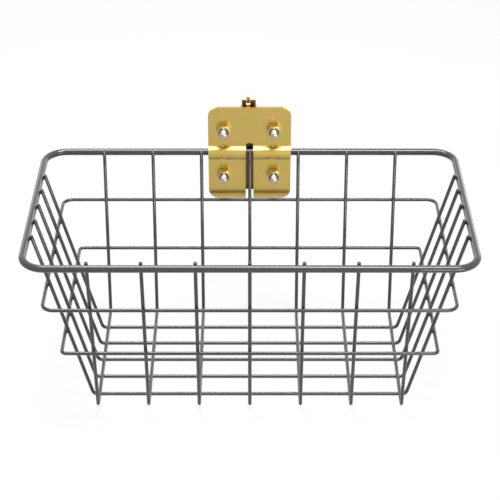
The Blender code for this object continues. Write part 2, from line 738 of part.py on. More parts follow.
def pivot(centre):
    """An empty on the pin's axis, which carries the lever."""
    axis = bpy.data.objects.new("latch_pivot", None)
    bpy.context.scene.collection.objects.link(axis)
    axis.parent = centre
    axis.location = PIN_CENTRE
    return axis


def across(start, end, radius, steps=ROUND_STEPS):
    """A cylinder along X between two places."""
    mesh = bpy.data.meshes.new("rod")
    shape = bmesh.new()
    middle = Matrix.Translation(((start + end) / 2, 0, 0))
    bmesh.ops.create_cone(
        shape, cap_ends=True, segments=steps, radius1=radius, radius2=radius,
        depth=end - start, matrix=middle @ Matrix.Rotation(pi / 2, 4, "Y"),
    )
    shape.to_mesh(mesh)
    shape.free()
    return mesh


def build_lever(axis, group, cutters):
    """The latch lever, with the sleeve that carries the spring."""
    mesh = slab("latch_lever", lever_outline(), LEVER_SHEET / 2)
    mesh.transform(Matrix.Translation((LEVER_SHIFT, 0, 0)) @ SIDE_VIEW)
    lever = place("latch_lever", mesh, axis, group=group, look=YELLOW_ZINC)
    sleeve = across(SEAT_GAP - CHANNEL, CHANNEL - SEAT_GAP, SLEEVE_RADIUS)
    cut(lever, guide("sleeve", sleeve, axis, cutters), "UNION")
    bore = across(-FITTING_WIDTH, FITTING_WIDTH, PIN_BORE)
    cut(lever, guide("lever_bore", bore, axis, cutters))


def build_pin(axis, group):
    """The pivot pin, with a flat head outside each cheek."""
    cheek = FITTING_WIDTH / 2 + SEAT_GAP
    end = cheek + PIN_HEAD
    shank = PIN_DIAMETER / 2
    head = PIN_HEAD_DIAMETER / 2
    profile = [
        (0, end), (head, end), (head, cheek), (shank, cheek),
        (shank, -cheek), (head, -cheek), (head, -end), (0, -end),
    ]
    mesh = turned("pivot_pin", profile)
    place("pivot_pin", mesh, axis, Matrix.Rotation(pi / 2, 4, "Y"), group, BRIGHT_ZINC)


def spring_path():
    """The spring's centre line: a hook on the lever's arm, the coil, a leg on the web."""
    left = LEVER_RIGHT + SEAT_GAP + SPRING_WIRE / 2
    right = CHANNEL - SEAT_GAP - SPRING_WIRE / 2
    hook = arm_front(EYE_RADIUS + SEAT_GAP + SPRING_WIRE / 2, SPRING_LEG)
    start = atan2(hook.y, hook.x) + acos(SPRING_RADIUS / hook.length)
    turn = pi - start + 2 * pi * SPRING_WHOLE_TURNS
    path = [
        Vector((LEVER_LEFT + SPRING_WIRE / 2, hook.x, hook.y)),
        Vector((left, hook.x, hook.y)),
    ]
    count = round(turn / (2 * pi) * SPRING_POINTS)
    for step in range(count + 1):
        angle = start + turn * step / count
        along = left + (right - left) * step / count
        path.append(Vector((along, SPRING_RADIUS * cos(angle), SPRING_RADIUS * sin(angle))))
    path.append(Vector((right, -SPRING_RADIUS, -SPRING_LEG)))
    return path


def least_gap(path, diameter):
    """The least clear space between two stretches of a wire that aren't neighbours."""
    points = []
    travelled = [0.0]
    for start, end in zip(path, path[1:]):
        for step in range(BEND_STEPS):
            points.append(start.lerp(end, step / BEND_STEPS))
            travelled.append(travelled[-1] + (end - start).length / BEND_STEPS)
    least = min(
        (first - second).length
        for index, first in enumerate(points)
        for other, second in enumerate(points[:index])
        if travelled[index] - travelled[other] > pi * SPRING_RADIUS
    )
    return least - diameter


def build_spring(axis, group):
    """The torsion spring that swings the lever's nose back under the track."""
    path = spring_path()
    spring = wire_curve("torsion_spring", path, SPRING_WIRE, SPRING_RESOLUTION)
    place("torsion_spring", spring, axis, group=group, look=SPRING_STEEL)
    print(f"torsion_spring least gap to itself: {least_gap(path, SPRING_WIRE) * 1000:.2f} mm")


def smooth(group):
    """Shade round pieces smooth, and keep their edges sharp."""
    for piece in group.objects:
        if piece.type == "MESH":
            piece.data.shade_smooth()
            piece.data.set_sharp_from_angle(angle=radians(35.0))


def main():
    clear_scene()
    group = collection("track_wire_basket")
    cutters = collection("cutters")
    centre = bpy.data.objects.new("rim_centre", None)
    bpy.context.scene.collection.objects.link(centre)
    centre.location = RIM_CENTRE
    build_rim(centre, group)
    build_hoops(centre, group)
    build_bent_wires(centre, group)
    build_clamp_plate(centre, group, cutters)
    build_back_plate(centre, group)
    build_fasteners(centre, group, cutters)
    build_fitting(centre, group, cutters)
    axis = pivot(centre)
    build_lever(axis, group, cutters)
    build_pin(axis, group)
    build_spring(axis, group)
    smooth(group)


if __name__ == "__main__":
    main()
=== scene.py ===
"""The look of a wire basket that hangs on a cargo track.

The wires, plates, fasteners and latch are modelled here as smooth pieces over the
plain solids, each with its own finish, in a plain white studio.

Lengths are in metres. X runs left to right, Y from front to back and Z up.
"""

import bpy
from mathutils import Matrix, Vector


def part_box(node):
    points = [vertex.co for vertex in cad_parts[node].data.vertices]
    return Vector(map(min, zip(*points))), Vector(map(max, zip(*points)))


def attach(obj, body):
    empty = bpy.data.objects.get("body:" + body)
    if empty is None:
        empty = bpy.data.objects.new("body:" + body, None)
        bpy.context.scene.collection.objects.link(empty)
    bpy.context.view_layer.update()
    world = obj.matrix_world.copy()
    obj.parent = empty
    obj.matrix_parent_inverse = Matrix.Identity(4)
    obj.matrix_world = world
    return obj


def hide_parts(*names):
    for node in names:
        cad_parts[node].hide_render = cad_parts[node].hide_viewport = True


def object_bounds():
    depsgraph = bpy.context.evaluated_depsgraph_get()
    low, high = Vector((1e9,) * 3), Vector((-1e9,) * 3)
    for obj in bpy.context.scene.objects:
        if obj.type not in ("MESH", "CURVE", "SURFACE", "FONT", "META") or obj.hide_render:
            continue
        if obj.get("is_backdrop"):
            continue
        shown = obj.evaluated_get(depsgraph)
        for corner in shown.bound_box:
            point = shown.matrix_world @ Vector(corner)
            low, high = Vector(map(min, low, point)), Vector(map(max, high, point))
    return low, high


bl_info = {
    "name": "Track Wire Basket",
    "version": (1, 0, 0),
    "blender": (4, 5, 0),
    "location": "3D Viewport > Sidebar > Basket",
    "description": "Builds a wire basket with its clamp and track latch",
    "category": "Object",
}

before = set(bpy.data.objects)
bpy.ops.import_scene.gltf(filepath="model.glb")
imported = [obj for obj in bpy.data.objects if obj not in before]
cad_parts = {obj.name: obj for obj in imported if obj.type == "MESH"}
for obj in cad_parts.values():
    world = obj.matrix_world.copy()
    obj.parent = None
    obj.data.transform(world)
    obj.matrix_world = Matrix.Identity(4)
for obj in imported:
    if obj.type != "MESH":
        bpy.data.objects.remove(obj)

from math import acos, asin, atan2, cos, degrees, pi, radians, sin, sqrt, tan

import bmesh
import bpy
from bmesh.types import BMEdge, BMFace, BMVert
from bpy.props import FloatProperty, FloatVectorProperty, IntProperty, PointerProperty
from mathutils import Matrix, Vector


def middle_of(*names):
    """The middle of solids' boxes."""
    corners = [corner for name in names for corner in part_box(name)]
    return sum(corners, Vector()) / len(corners)


X, Y, Z = Vector((1, 0, 0)), Vector((0, 1, 0)), Vector((0, 0, 1))
RIM, PIN, PLATE = middle_of("rim"), middle_of("pivot_pin"), middle_of("back_plate")
PLATE_FRONT, PLATE_REAR = (corner.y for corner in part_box("back_plate"))
WEB_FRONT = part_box("track_fitting")[0].y
GAP = 0.0003                    # between neighbouring solids
MERGE = 0.000001                # points closer than this are one
LEVER_MIDDLE = -0.0006          # across, from the fitting's middle to the lever's
LEVER_SLANT = radians(20)       # of the lever's arm, off the vertical
EYE_LIP = 0.0005                # the lever's eye stands out from its sleeve
COIL_POINTS = 10                # in a turn of the solid spring
WHITE = (1, 1, 1, 1)
PAINTED_SHADE = (0.05, 0.02, 0.0)       # painted shade: the brown that the zinc shows where it falls in shade in creases and gaps
LAMPS = (                       # name, place, width and height, power
    ("overhead", (0.02, -0.02, 1.75), (0.62, 1.6), 50),
    ("front", (0.6, -1.15, 0.17), (0.6, 0.32), 7),
    ("side", (1.7, 2.6, 0.3), (0.9, 0.5), 4),
    ("rear_left", (-1.4, 2.8, 0.95), (2.0, 1.4), 10),
    ("rear_right", (1.4, 2.8, 0.95), (2.0, 1.4), 10),
)
LAMP_AIM = Vector((0, 0, 0.12))
PICTURE, SENSOR = 500, 36       # width in pixels and in millimetres
FOCAL, SHIFT = 1547.8, 0.16     # of the lens, in pixels
CAMERA_FROM_RIM = Vector((0, -1.3205, 0.777))
CAMERA_DOWN = 32.0747           # degrees below level


# Sizes and colours

def length(name, description, default):
    return FloatProperty(
        name=name, description=description, default=default, min=0, precision=5, unit="LENGTH")


def angle(name, description, default):
    return FloatProperty(
        name=name, description=description, default=radians(default), min=0, max=pi / 2,
        subtype="ANGLE")


def colour(name, description, default):
    return FloatVectorProperty(
        name=name, description=description, default=default, size=3, min=0, max=1,
        subtype="COLOR")


class BasketWires(bpy.types.PropertyGroup):
    """Sizes of the welded basket, along the wires' centre lines."""
    rim_wire: length("Rim Wire", "Diameter of the rim's wire", 0.0072)
    wire: length("Wire", "Diameter of the thin wires", 0.0036)
    rim_length: length("Rim Length", "Rim from side to side", 0.4276)
    rim_depth: length("Rim Depth", "Rim from front to back", 0.2276)
    rim_corner: length("Rim Corner", "Radius of the rim's corners", 0.0225)
    drop: length("Drop", "From the rim down to the front-back floor wires", 0.1808)
    floor_side: length("Floor Side", "From the middle to a cross wire's corner", 0.1590)
    floor_front: length("Floor Front", "From the rim's centre to the front corners", 0.0842)
    floor_back: length("Floor Back", "From the rim's centre to the back corners", 0.0818)
    front_stub: length("Front Stub", "Front ends above the rim's centre", 0.0038)
    back_stub: length("Back Stub", "Back ends above the rim's centre", 0.0028)
    cross_stub: length("Cross Stub", "Cross wires' ends above the rim's centre", 0.0044)
    front_back_bend: length("Front-Back Bend", "Bend radius of the front-back wires", 0.0025)
    cross_bend: length("Cross Bend", "Bend radius of the cross wires", 0.0050)
    upper_hoop: length("Upper Hoop", "From the rim down to the upper hoop", 0.0526)
    upper_corner: length("Upper Hoop Corner", "Radius of the upper hoop's corners", 0.0105)
    lower_hoop: length("Lower Hoop", "From the rim down to the lower hoop", 0.1081)
    lower_corner: length("Lower Hoop Corner", "Radius of the lower hoop's corners", 0.0046)
    end_round: length("End Round", "Rounding of the wires' cut ends", 0.0007)
    sides: IntProperty(name="Sides", description="Sides round a wire", default=20, min=8)
    weld: length("Weld", "Half the width of a weld at a crossing", 0.0017)


class BasketClamp(bpy.types.PropertyGroup):
    """Sizes of the clamp plates, the bolts and the nuts."""
    width: length("Width", "Width of both plates", 0.0866)
    sheet: length("Sheet", "Thickness of the front plate", 0.0032)
    up: length("Up", "From the rim's centre to the front plate's top", 0.0518)
    down: length("Down", "From the rim's centre to the front plate's bottom", 0.0553)
    corner: length("Corner", "Radius of the front plate's corners", 0.0102)
    gap: length("Gap", "Between the two plates", 0.0015)
    crease: length("Crease", "Radius inside the creases", 0.0010)
    notch: length("Notch", "Width of the notch round the middle wire", 0.0081)
    notch_up: length("Notch Top", "From the rim's centre to the notch's top", 0.0109)
    notch_corner: length("Notch Corner", "Radius of the notch's corners", 0.0030)
    notch_mouth: length("Notch Mouth", "Rounding of the notch's mouth", 0.0010)
    back_up: length("Rear Up", "From the rim's centre to the rear plate's top", 0.0490)
    back_down: length("Rear Down", "From the rim's centre to the rear plate's bottom", 0.0474)
    back_corner: length("Rear Corner", "Radius of the rear plate's corners", 0.0092)
    edge: length("Edge", "Rounding of the sheets' edges", 0.00035)
    dent_width: length("Dent Width", "Width of a dent in a crease", 0.0074)
    dent_length: length("Dent Length", "Length of a dent along the sheet", 0.0058)
    dent_depth: length("Dent Depth", "Depth of a dent in a crease", 0.0013)
    bolt: length("Bolt", "Diameter of the bolts", 0.0080)
    pitch: length("Thread Pitch", "From one crest of the thread to the next", 0.00125)
    thread: length("Thread Depth", "Depth of the rounded thread", 0.00045)
    tip_round: length("Bolt Tip", "Chamfer round a bolt's end", 0.0009)
    spacing_x: length("Bolt Spacing X", "Between the two bolt columns", 0.0525)
    spacing_z: length("Bolt Spacing Z", "Between the two bolt rows", 0.0530)
    head: length("Bolt Head", "Diameter of the bolts' round heads", 0.0190)
    head_height: length("Head Height", "Height of the bolts' round heads", 0.0046)
    flats: length("Nut Flats", "Nut across its flats", 0.0130)
    chamfer: angle("Nut Chamfer", "Slope of the cone that takes off the corners", 30)
    hexagon: length("Nut Hexagon", "Height of the nut's hexagon", 0.0069)
    collar: length("Nut Collar", "Diameter of the nut's round collar", 0.0130)
    collar_height: length("Collar Height", "Height of the nut's round collar", 0.0016)
    lip: length("Nut Lip", "Rounding of the collar's lip", 0.0003)
    mouth: length("Nut Mouth", "Diameter of the recess in the collar", 0.0100)
    mouth_depth: length("Mouth Depth", "Depth of the recess in the collar", 0.0012)


class BasketLatch(bpy.types.PropertyGroup):
    """Sizes of the track fitting, the lever, its pin and its spring."""
    width: length("Width", "Fitting across its two cheeks", 0.0146)
    sheet: length("Sheet", "Thickness of the fitting's sheet", 0.0023)
    bend: length("Bend", "Radius outside the fitting's bends", 0.0030)
    top: length("Top", "From the rim's centre to the fitting's top", 0.0564)
    down: length("Down", "From the rim's centre to the fitting's bottom", 0.0400)
    standoff: length("Standoff", "From the web's front to the track's face", 0.0140)
    slot_top: length("Slot Top", "Top edge of the track's slot", 0.0350)
    slot_height: length("Slot Height", "Height of the track's slot", 0.0603)
    throat: length("Throat", "Between the track's face and a tongue", 0.0046)
    tongue: length("Tongue", "Thickness of the tongues", 0.0034)
    lever: length("Lever", "Thickness of the lever", 0.0032)
    pin: length("Pin", "Diameter of the pin", 0.0030)
    pin_head: length("Pin Head", "Diameter of the pin's heads", 0.0044)
    wire: length("Spring Wire", "Diameter of the spring's wire", 0.0006)
    coil: length("Coil", "Radius of the spring's coil", 0.0038)
    leg: length("Spring Leg", "Length of the spring's leg on the web", 0.0090)
    hook: length("Spring Hook", "Length of the spring's leg on the lever", 0.0062)
    bead: length("Weld Bead", "Half the width of the fitting's welds", 0.0012)
    edge: length("Edge", "Rounding of the fitting's and the lever's edges", 0.0003)


class BasketFinish(bpy.types.PropertyGroup):
    """Colours of the finishes and of the studio."""
    coat: colour("Powder Coat", "Dark grey powder coat", (0.033, 0.0335, 0.035))
    zinc: colour("Yellow Zinc", "Satin yellow zinc plating", (0.525, 0.36, 0.047))
    bright: colour("Bright Zinc", "Bright zinc plating", (0.46, 0.39, 0.27))
    # painted shade: the fitting's yellow zinc darkened to brown as if it always stood in shade
    shaded_zinc: colour("Dark Zinc", "Dark yellow zinc plating", (0.13, 0.055, 0.012))
    spring: colour("Spring Steel", "Drawn spring wire", (0.24, 0.17, 0.10))
    # the real locking insert, its near-black brown also painted shade in the collar's recess
    insert: colour("Lock Insert", "Dark locking insert of the nuts", (0.040, 0.016, 0.005))
    floor: colour("Floor", "Studio floor", (0.72, 0.72, 0.72))


# Materials

def shader_tree(name):
    """A new material's node tree and its surface shader."""
    material = bpy.data.materials.new(name)
    material.use_nodes = True
    return material.node_tree, material.node_tree.nodes["Principled BSDF"]


def feed(tree, target, inputs):
    """Give a node's inputs their values, or the sockets that they follow."""
    for key, value in inputs.items():
        if isinstance(value, bpy.types.NodeSocket):
            tree.links.new(value, target.inputs[key])
        else:
            target.inputs[key].default_value = value


def node(tree, kind, inputs=None, **settings):
    """A new node with its settings and its inputs."""
    made = tree.nodes.new(kind)
    for key, value in settings.items():
        setattr(made, key, value)
    feed(tree, made, inputs or {})
    return made


def object_place(tree):
    """The place on the piece, in object space."""
    return node(tree, "ShaderNodeTexCoord").outputs["Object"]


def noise(tree, scale, detail=2.0, stretch=(1, 1, 1)):
    """Soft noise in object space, from 0 to 1, finer along the axes that are stretched."""
    place = node(tree, "ShaderNodeMapping", {"Vector": object_place(tree), "Scale": stretch})
    return node(tree, "ShaderNodeTexNoise", {
        "Vector": place.outputs["Vector"], "Scale": scale, "Detail": detail,
        "Roughness": 0.6}).outputs["Fac"]


def between(tree, value, low, high, start=0.3, stop=0.7):
    """A value mapped from one range to another."""
    return node(tree, "ShaderNodeMapRange", {
        "Value": value, "From Min": start, "From Max": stop, "To Min": low,
        "To Max": high}).outputs["Result"]


def blended(tree, factor, first, second):
    """Two colours blended by a factor. Each is a socket or three numbers."""
    first, second = (
        shade if isinstance(shade, bpy.types.NodeSocket) else (*shade, 1)
        for shade in (first, second))
    return node(
        tree, "ShaderNodeMix", {0: factor, 6: first, 7: second}, data_type="RGBA").outputs[2]


def mixed(tree, factor, first, second):
    """Two surfaces mixed by a factor."""
    return node(
        tree, "ShaderNodeMixShader", {"Fac": factor, 1: first, 2: second}).outputs["Shader"]


def scaled(shade, amount):
    """A colour made lighter or darker."""
    return tuple(min(1, part * amount) for part in shade)


def bumped(tree, shader, height, distance, strength, below=None):
    """Raise the surface by a height between 0 and a distance, on top of another bump."""
    inputs = {"Height": height, "Distance": distance, "Strength": strength}
    if below:
        inputs["Normal"] = below
    made = node(tree, "ShaderNodeBump", inputs).outputs["Normal"]
    feed(tree, shader, {"Normal": made})
    return made


def powder_coat(name, shade):
    """Semi-gloss powder coat: a fine orange peel, a speckle and slightly uneven gloss."""
    tree, shader = shader_tree(name)
    cloud_scale, speck_scale, gloss_scale, peel_scale = 55, 2600, 240, 900
    peel_height, speck_height = 0.00003, 0.00002
    cloud, speck = noise(tree, cloud_scale, 3.0), noise(tree, speck_scale, 1.0)
    base = blended(tree, between(tree, cloud, 0, 1), scaled(shade, 0.88), scaled(shade, 1.12))
    base = blended(tree, between(tree, speck, 0, 0.3, 0.55, 0.75), base, scaled(shade, 1.7))
    feed(tree, shader, {
        "Base Color": base, "Roughness": between(tree, noise(tree, gloss_scale), 0.34, 0.46),
        "Specular IOR Level": 0.1, "Coat Weight": 0.9, "Coat Roughness": 0.05})
    peel = bumped(tree, shader, noise(tree, peel_scale), peel_height, 0.25)
    bumped(tree, shader, speck, speck_height, 0.2, peel)


def shade_band(tree, base, axis, middle, reach, fade, amount):
    """Paint shade: darken a colour in a soft band across an axis of object space."""
    along = node(tree, "ShaderNodeSeparateXYZ", {"Vector": object_place(tree)}).outputs[axis]
    off = node(tree, "ShaderNodeMath", {0: along, 1: middle}, operation="SUBTRACT")
    away = node(tree, "ShaderNodeMath", {0: off.outputs["Value"]}, operation="ABSOLUTE")
    band = between(tree, away.outputs["Value"], amount, 0, reach, reach + fade)
    return blended(tree, band, base, PAINTED_SHADE)


def plated(name, shade, tints, roughness, grain, polish=1.0, coat=0.0, painted_band=None):
    """Zinc plating: rolled or turned grain, tinted clouds and a clear passivation."""
    tree, shader = shader_tree(name)
    cloud_scale, patch_scale, ripple_scale = 34, 120, 420
    line_height, ripple_height = 0.000006 * polish, 0.00004 * polish
    clouds, patches = noise(tree, cloud_scale), noise(tree, patch_scale)
    lines = noise(tree, 1, 3.0, grain)
    base = blended(tree, between(tree, clouds, 0, 1, 0.38, 0.62), *tints)
    base = blended(tree, between(tree, patches, 0, 0.7), base, shade)
    streaks = blended(tree, between(tree, lines, 0, 1), scaled(shade, 0.9), scaled(shade, 1.06))
    base = blended(tree, 0.3, base, streaks)
    # an optional band of painted shade, darkened into the plating's colour where the plate falls
    # in shade
    if painted_band:
        base = shade_band(tree, base, *painted_band)
    feed(tree, shader, {
        "Base Color": base, "Metallic": 1, "Coat Weight": coat, "Coat Roughness": 0.15,
        "Coat IOR": 1.7,
        "Roughness": between(tree, patches, roughness * 0.9, roughness * 1.12)})
    soft = bumped(tree, shader, lines, line_height, 0.4)
    bumped(tree, shader, noise(tree, ripple_scale), ripple_height, 0.3, soft)


def insert_with_recess_shade(name, shade):
    """Dull plastic of the nuts' locking inserts, its near-black brown also painted shade in the
    recess.
    """
    tree, shader = shader_tree(name)
    cloud_scale = 500
    cloud = between(tree, noise(tree, cloud_scale), 0, 1)
    feed(tree, shader, {
        "Base Color": blended(tree, cloud, scaled(shade, 0.8), scaled(shade, 1.3)),
        "Roughness": 0.6, "Specular IOR Level": 0.1})


def make_materials(finish, wires, clamp):
    """One material for each finish, kept by name in the file."""
    # Each band of painted shade: its axis, middle, half its width, its fade and its strength
    # painted shade along the front plate's lower crease, where the ridge shades the flat below
    # it
    crease = ("Z", RIM.z - RidgeSection(wires, clamp).rise, 0.0003, 0.0008, 0.7)
    # painted shade on the rear plate, in the narrow gap seen through the front plate's notch
    notch_shade = ("X", 0, clamp.notch / 2, 0.0015, 0.85)
    rolled, folded, fine = (60, 60, 1400), (60, 700, 700), (700, 700, 700)
    zinc, bright = tuple(finish.zinc), tuple(finish.bright)
    shaded_zinc, spring = tuple(finish.shaded_zinc), tuple(finish.spring)
    greenish = (zinc[0] * 0.93, zinc[1] * 1.03, zinc[2] * 0.8)
    pinkish = (zinc[0] * 1.03, zinc[1] * 0.95, zinc[2] * 1.5)
    rosy = (bright[0] * 1.04, bright[1] * 0.96, bright[2] * 0.9)
    yellow = (zinc, (greenish, pinkish))
    powder_coat("grey_coat_wire", tuple(finish.coat))
    # the welds are the coat darkened to 0.6: painted shade where the wires cross and meet the
    # rim
    powder_coat("grey_coat_weld_shade", scaled(finish.coat, 0.6))
    # the front plate carries painted shade in its lower crease
    plated("yellow_zinc_front", *yellow, 0.32, rolled, 0.5, 1.0, crease)
    # the rear plate carries painted shade where the notch looks into the gap
    plated("yellow_zinc_rear", *yellow, 0.32, rolled, 0.5, 0.3, notch_shade)
    plated("yellow_zinc_turned", *yellow, 0.26, fine, coat=1.0)
    plated("bright_zinc_turned", bright, (bright, rosy), 0.28, fine, coat=0.5)
    # the track fitting and its welds: yellow zinc painted dark brown as shade
    plated("zinc_sheet_painted_shade", shaded_zinc, (shaded_zinc, scaled(shaded_zinc, 1.3)), 0.34, folded, coat=0.3)
    plated("spring_wire", spring, (spring, scaled(spring, 1.25)), 0.3, fine)
    # the insert's colour is partly its own, partly painted shade in the recess
    insert_with_recess_shade("lock_insert_recess_shade", tuple(finish.insert))


# Modelling helpers

def mesh_object(name, shape, materials):
    """Make a bmesh an object with its materials."""
    mesh = bpy.data.meshes.new(name)
    shape.to_mesh(mesh)
    shape.free()
    for material in materials:
        mesh.materials.append(bpy.data.materials[material])
    made = bpy.data.objects.new(name, mesh)
    bpy.context.scene.collection.objects.link(made)
    return made


def piece(name, shape, materials, stands_for=None, body="basket", sharp=35.0):
    """Make a bmesh a finished piece that rides on a body and stands for a solid."""
    bmesh.ops.recalc_face_normals(shape, faces=shape.faces)
    made = mesh_object(name, shape, materials)
    made.data.shade_smooth()
    made.data.set_sharp_from_angle(angle=radians(sharp))
    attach(made, body)
    if stands_for:
        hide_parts(stands_for)
    return made


def thicken(made, thickness, edge):
    """Give an open surface its thickness and round its sharp edges."""
    sheet = made.modifiers.new("sheet", "SOLIDIFY")
    sheet.thickness = thickness
    sheet.offset = 0.0
    sheet.use_even_offset = True
    edges = made.modifiers.new("edges", "BEVEL")
    edges.width = edge
    edges.segments = 2
    edges.limit_method = "ANGLE"
    edges.angle_limit = radians(40)
    edges.harden_normals = True


def only(items, kind):
    """The items of one kind."""
    return [item for item in items if isinstance(item, kind)]


def bevel(shape, geometry, width, segments, affect="EDGES"):
    """Round edges or corners of a bmesh."""
    bmesh.ops.bevel(
        shape, geom=geometry, offset=width, offset_type="OFFSET", segments=segments,
        profile=0.5, affect=affect, clamp_overlap=True, material=-1)


def round_corners(shape, picks, segments=8):
    """Round the corners of flat faces: pairs of a vertex and its radius."""
    radii = {}
    for corner, radius in picks:
        if radius:
            radii.setdefault(round(radius, 6), []).append(corner)
    for radius, corners in radii.items():
        bevel(shape, corners, radius, segments, "VERTICES")


def outline(shape, points, radii, segments=8):
    """A flat face through points, its corners rounded."""
    verts = [shape.verts.new(point) for point in points]
    shape.faces.new(verts)
    round_corners(shape, zip(verts, radii), segments)


def axle(place, axis):
    """A seat whose own Z axis points to the front, for axis X, or to the right, for Y."""
    return Matrix.Translation(place) @ Matrix.Rotation(pi / 2, 4, axis)


def pointed(place, way):
    """A seat whose own Z axis points a way."""
    return Matrix.Translation(place) @ way.to_track_quat("Z", "Y").to_matrix().to_4x4()


class Wire:
    """A round wire, drawn by extruding its end ring along runs and spinning it in bends."""

    def __init__(self, start, ahead, diameter, sides):
        self.shape = bmesh.new()
        bmesh.ops.create_circle(
            self.shape, segments=sides, radius=diameter / 2, matrix=pointed(start, ahead))
        self.ring = self.first = list(self.shape.edges)
        self.place = start.copy()

    def run(self, target):
        """Extrude the end straight on to a place."""
        made = bmesh.ops.extrude_edge_only(self.shape, edges=self.ring)["geom"]
        bmesh.ops.translate(self.shape, verts=only(made, BMVert), vec=target - self.place)
        self.take(made)
        self.place = target.copy()

    def spin(self, centre, axis, angle, steps, advance=0.0):
        """Spin the end about an axis, moving along it if it advances."""
        made = bmesh.ops.spin(
            self.shape, geom=self.ring, cent=centre, axis=axis, angle=angle, steps=steps,
            dvec=axis.normalized() * advance / steps, use_merge=False, use_duplicate=False)
        self.take(made["geom_last"])
        turn = Matrix.Rotation(angle, 3, axis)
        self.place = centre + turn @ (self.place - centre) + axis.normalized() * advance

    def take(self, made):
        """Make the newest ring the end."""
        verts = set(only(made, BMVert))
        self.ring = [edge for edge in only(made, BMEdge) if verts.issuperset(edge.verts)]

    def follow(self, points, radii, steps):
        """Draw on through corners that have bend radii, to the last point."""
        points = [self.place, *points]
        for index, radius in enumerate(radii, start=1):
            back, corner, beyond = points[index - 1:index + 2]
            ahead, onward = (corner - back).normalized(), (beyond - corner).normalized()
            angle = ahead.angle(onward)
            self.run(corner - ahead * radius * tan(angle / 2))
            centre = corner + (onward - ahead).normalized() * radius / cos(angle / 2)
            self.spin(centre, ahead.cross(onward), angle, steps)
        self.run(points[-1])

    def closed(self):
        """Join the last ring to the first."""
        bmesh.ops.remove_doubles(self.shape, verts=self.shape.verts, dist=MERGE)
        return self.shape

    def capped(self, rounding):
        """Close both ends with rounded caps."""
        for end in (self.first, self.ring):
            bmesh.ops.contextual_create(self.shape, geom=end)
            bevel(self.shape, end, rounding, 3)
        return self.shape


def draw_loop(low, high, corner, diameter, sides, steps):
    """A closed level loop of wire with rounded corners."""
    start = Vector(((low.x + high.x) / 2, low.y, low.z))
    spots = ((high.x, low.y), (high.x, high.y), (low.x, high.y), (low.x, low.y))
    wire = Wire(start, X, diameter, sides)
    wire.follow([*(Vector((*spot, low.z)) for spot in spots), start], [corner] * 4, steps)
    return wire.closed()


def turned(shape, profile, seat, steps=48, material=0):
    """Spin a profile of (radius, height) pairs about a seat's Z axis."""
    known = set(shape.faces)
    verts = [shape.verts.new(seat @ Vector((radius, 0, height))) for radius, height in profile]
    edges = [shape.edges.new(pair) for pair in zip(verts, verts[1:])]
    bmesh.ops.spin(
        shape, geom=[*verts, *edges], cent=seat.translation,
        axis=(seat.to_3x3() @ Z).normalized(), angle=2 * pi, steps=steps, use_merge=True,
        use_duplicate=False)
    bmesh.ops.remove_doubles(shape, verts=shape.verts, dist=MERGE)
    for face in set(shape.faces) - known:
        face.material_index = material


def arc(centre, radius, start, stop, steps):
    """Points of a profile's arc, its angles in degrees."""
    turns = [radians(start + (stop - start) * step / steps) for step in range(steps + 1)]
    return [(centre[0] + radius * cos(turn), centre[1] + radius * sin(turn)) for turn in turns]


# Where the wires run

class Wall:
    """How far out from the rim's centre one wall's legs and hoops are."""

    def __init__(self, facing, rim, floor, drop, wires):
        self.facing, self.rim, self.floor, self.drop = facing, rim, floor, drop
        touch, run = (wires.rim_wire + wires.wire) / 2 + GAP, rim - floor
        self.slope = atan2(run, drop) - asin(touch / sqrt(run * run + drop * drop))
        self.beside = (wires.wire + GAP) / cos(self.slope)

    def leg(self, below):
        """A leg's centre line at a depth below the rim."""
        return self.floor + (self.drop - below) * tan(self.slope)

    def hoop(self, below):
        """A hoop's centre line, outside the legs."""
        return self.leg(below) + self.beside


def walls(wires):
    """The front, back, left and right walls."""
    depth, width = wires.rim_depth / 2, wires.rim_length / 2
    cross_drop = wires.drop + wires.wire + GAP
    return (
        Wall(-Y, depth, wires.floor_front, wires.drop, wires),
        Wall(Y, depth, wires.floor_back, wires.drop, wires),
        Wall(-X, width, wires.floor_side, cross_drop, wires),
        Wall(X, width, wires.floor_side, cross_drop, wires),
    )


def columns():
    """Where the front-back wires stand, from side to side."""
    return [middle_of(f"front_back_wire_{index}").x for index in range(1, 8)]


def rows():
    """Where the cross wires stand, from front to back."""
    return [middle_of(f"cross_wire_{index}").y for index in range(1, 6)]


def u_points(near, far, stubs):
    """The corners of a U-shaped wire between two walls, about the rim's centre."""
    ends = [wall.facing * wall.leg(-stub) + Z * stub for wall, stub in zip((near, far), stubs)]
    feet = [wall.facing * wall.floor - Z * wall.drop for wall in (near, far)]
    return [ends[0], *feet, ends[1]]


def hoop_runs(wires):
    """Each hoop's solid, its depth below the rim and its corners' radius."""
    return (
        ("upper_hoop", wires.upper_hoop, wires.upper_corner),
        ("lower_hoop", wires.lower_hoop, wires.lower_corner),
    )


# Operators

class PieceOperator:
    """What the operators that build pieces share."""
    bl_options = {"REGISTER", "UNDO"}

    def execute(self, context):
        scene = context.scene
        self.build(scene.basket_wires, scene.basket_clamp, scene.basket_latch)
        return {"FINISHED"}


class BASKET_OT_finishes(bpy.types.Operator):
    """Make the procedural materials of every finish"""
    bl_idname = "basket.finishes"
    bl_label = "Finishes"
    bl_options = {"REGISTER", "UNDO"}

    def execute(self, context):
        scene = context.scene
        make_materials(scene.basket_finish, scene.basket_wires, scene.basket_clamp)
        return {"FINISHED"}


class BASKET_OT_rim(PieceOperator, bpy.types.Operator):
    """Draw the thick wire round the basket's mouth"""
    bl_idname = "basket.rim"
    bl_label = "Rim"

    def build(self, wires, clamp, latch):
        half = Vector((wires.rim_length / 2, wires.rim_depth / 2, 0))
        shape = draw_loop(
            RIM - half, RIM + half, wires.rim_corner, wires.rim_wire, sides=32, steps=16)
        piece("rim_loop", shape, ["grey_coat_wire"], "rim")


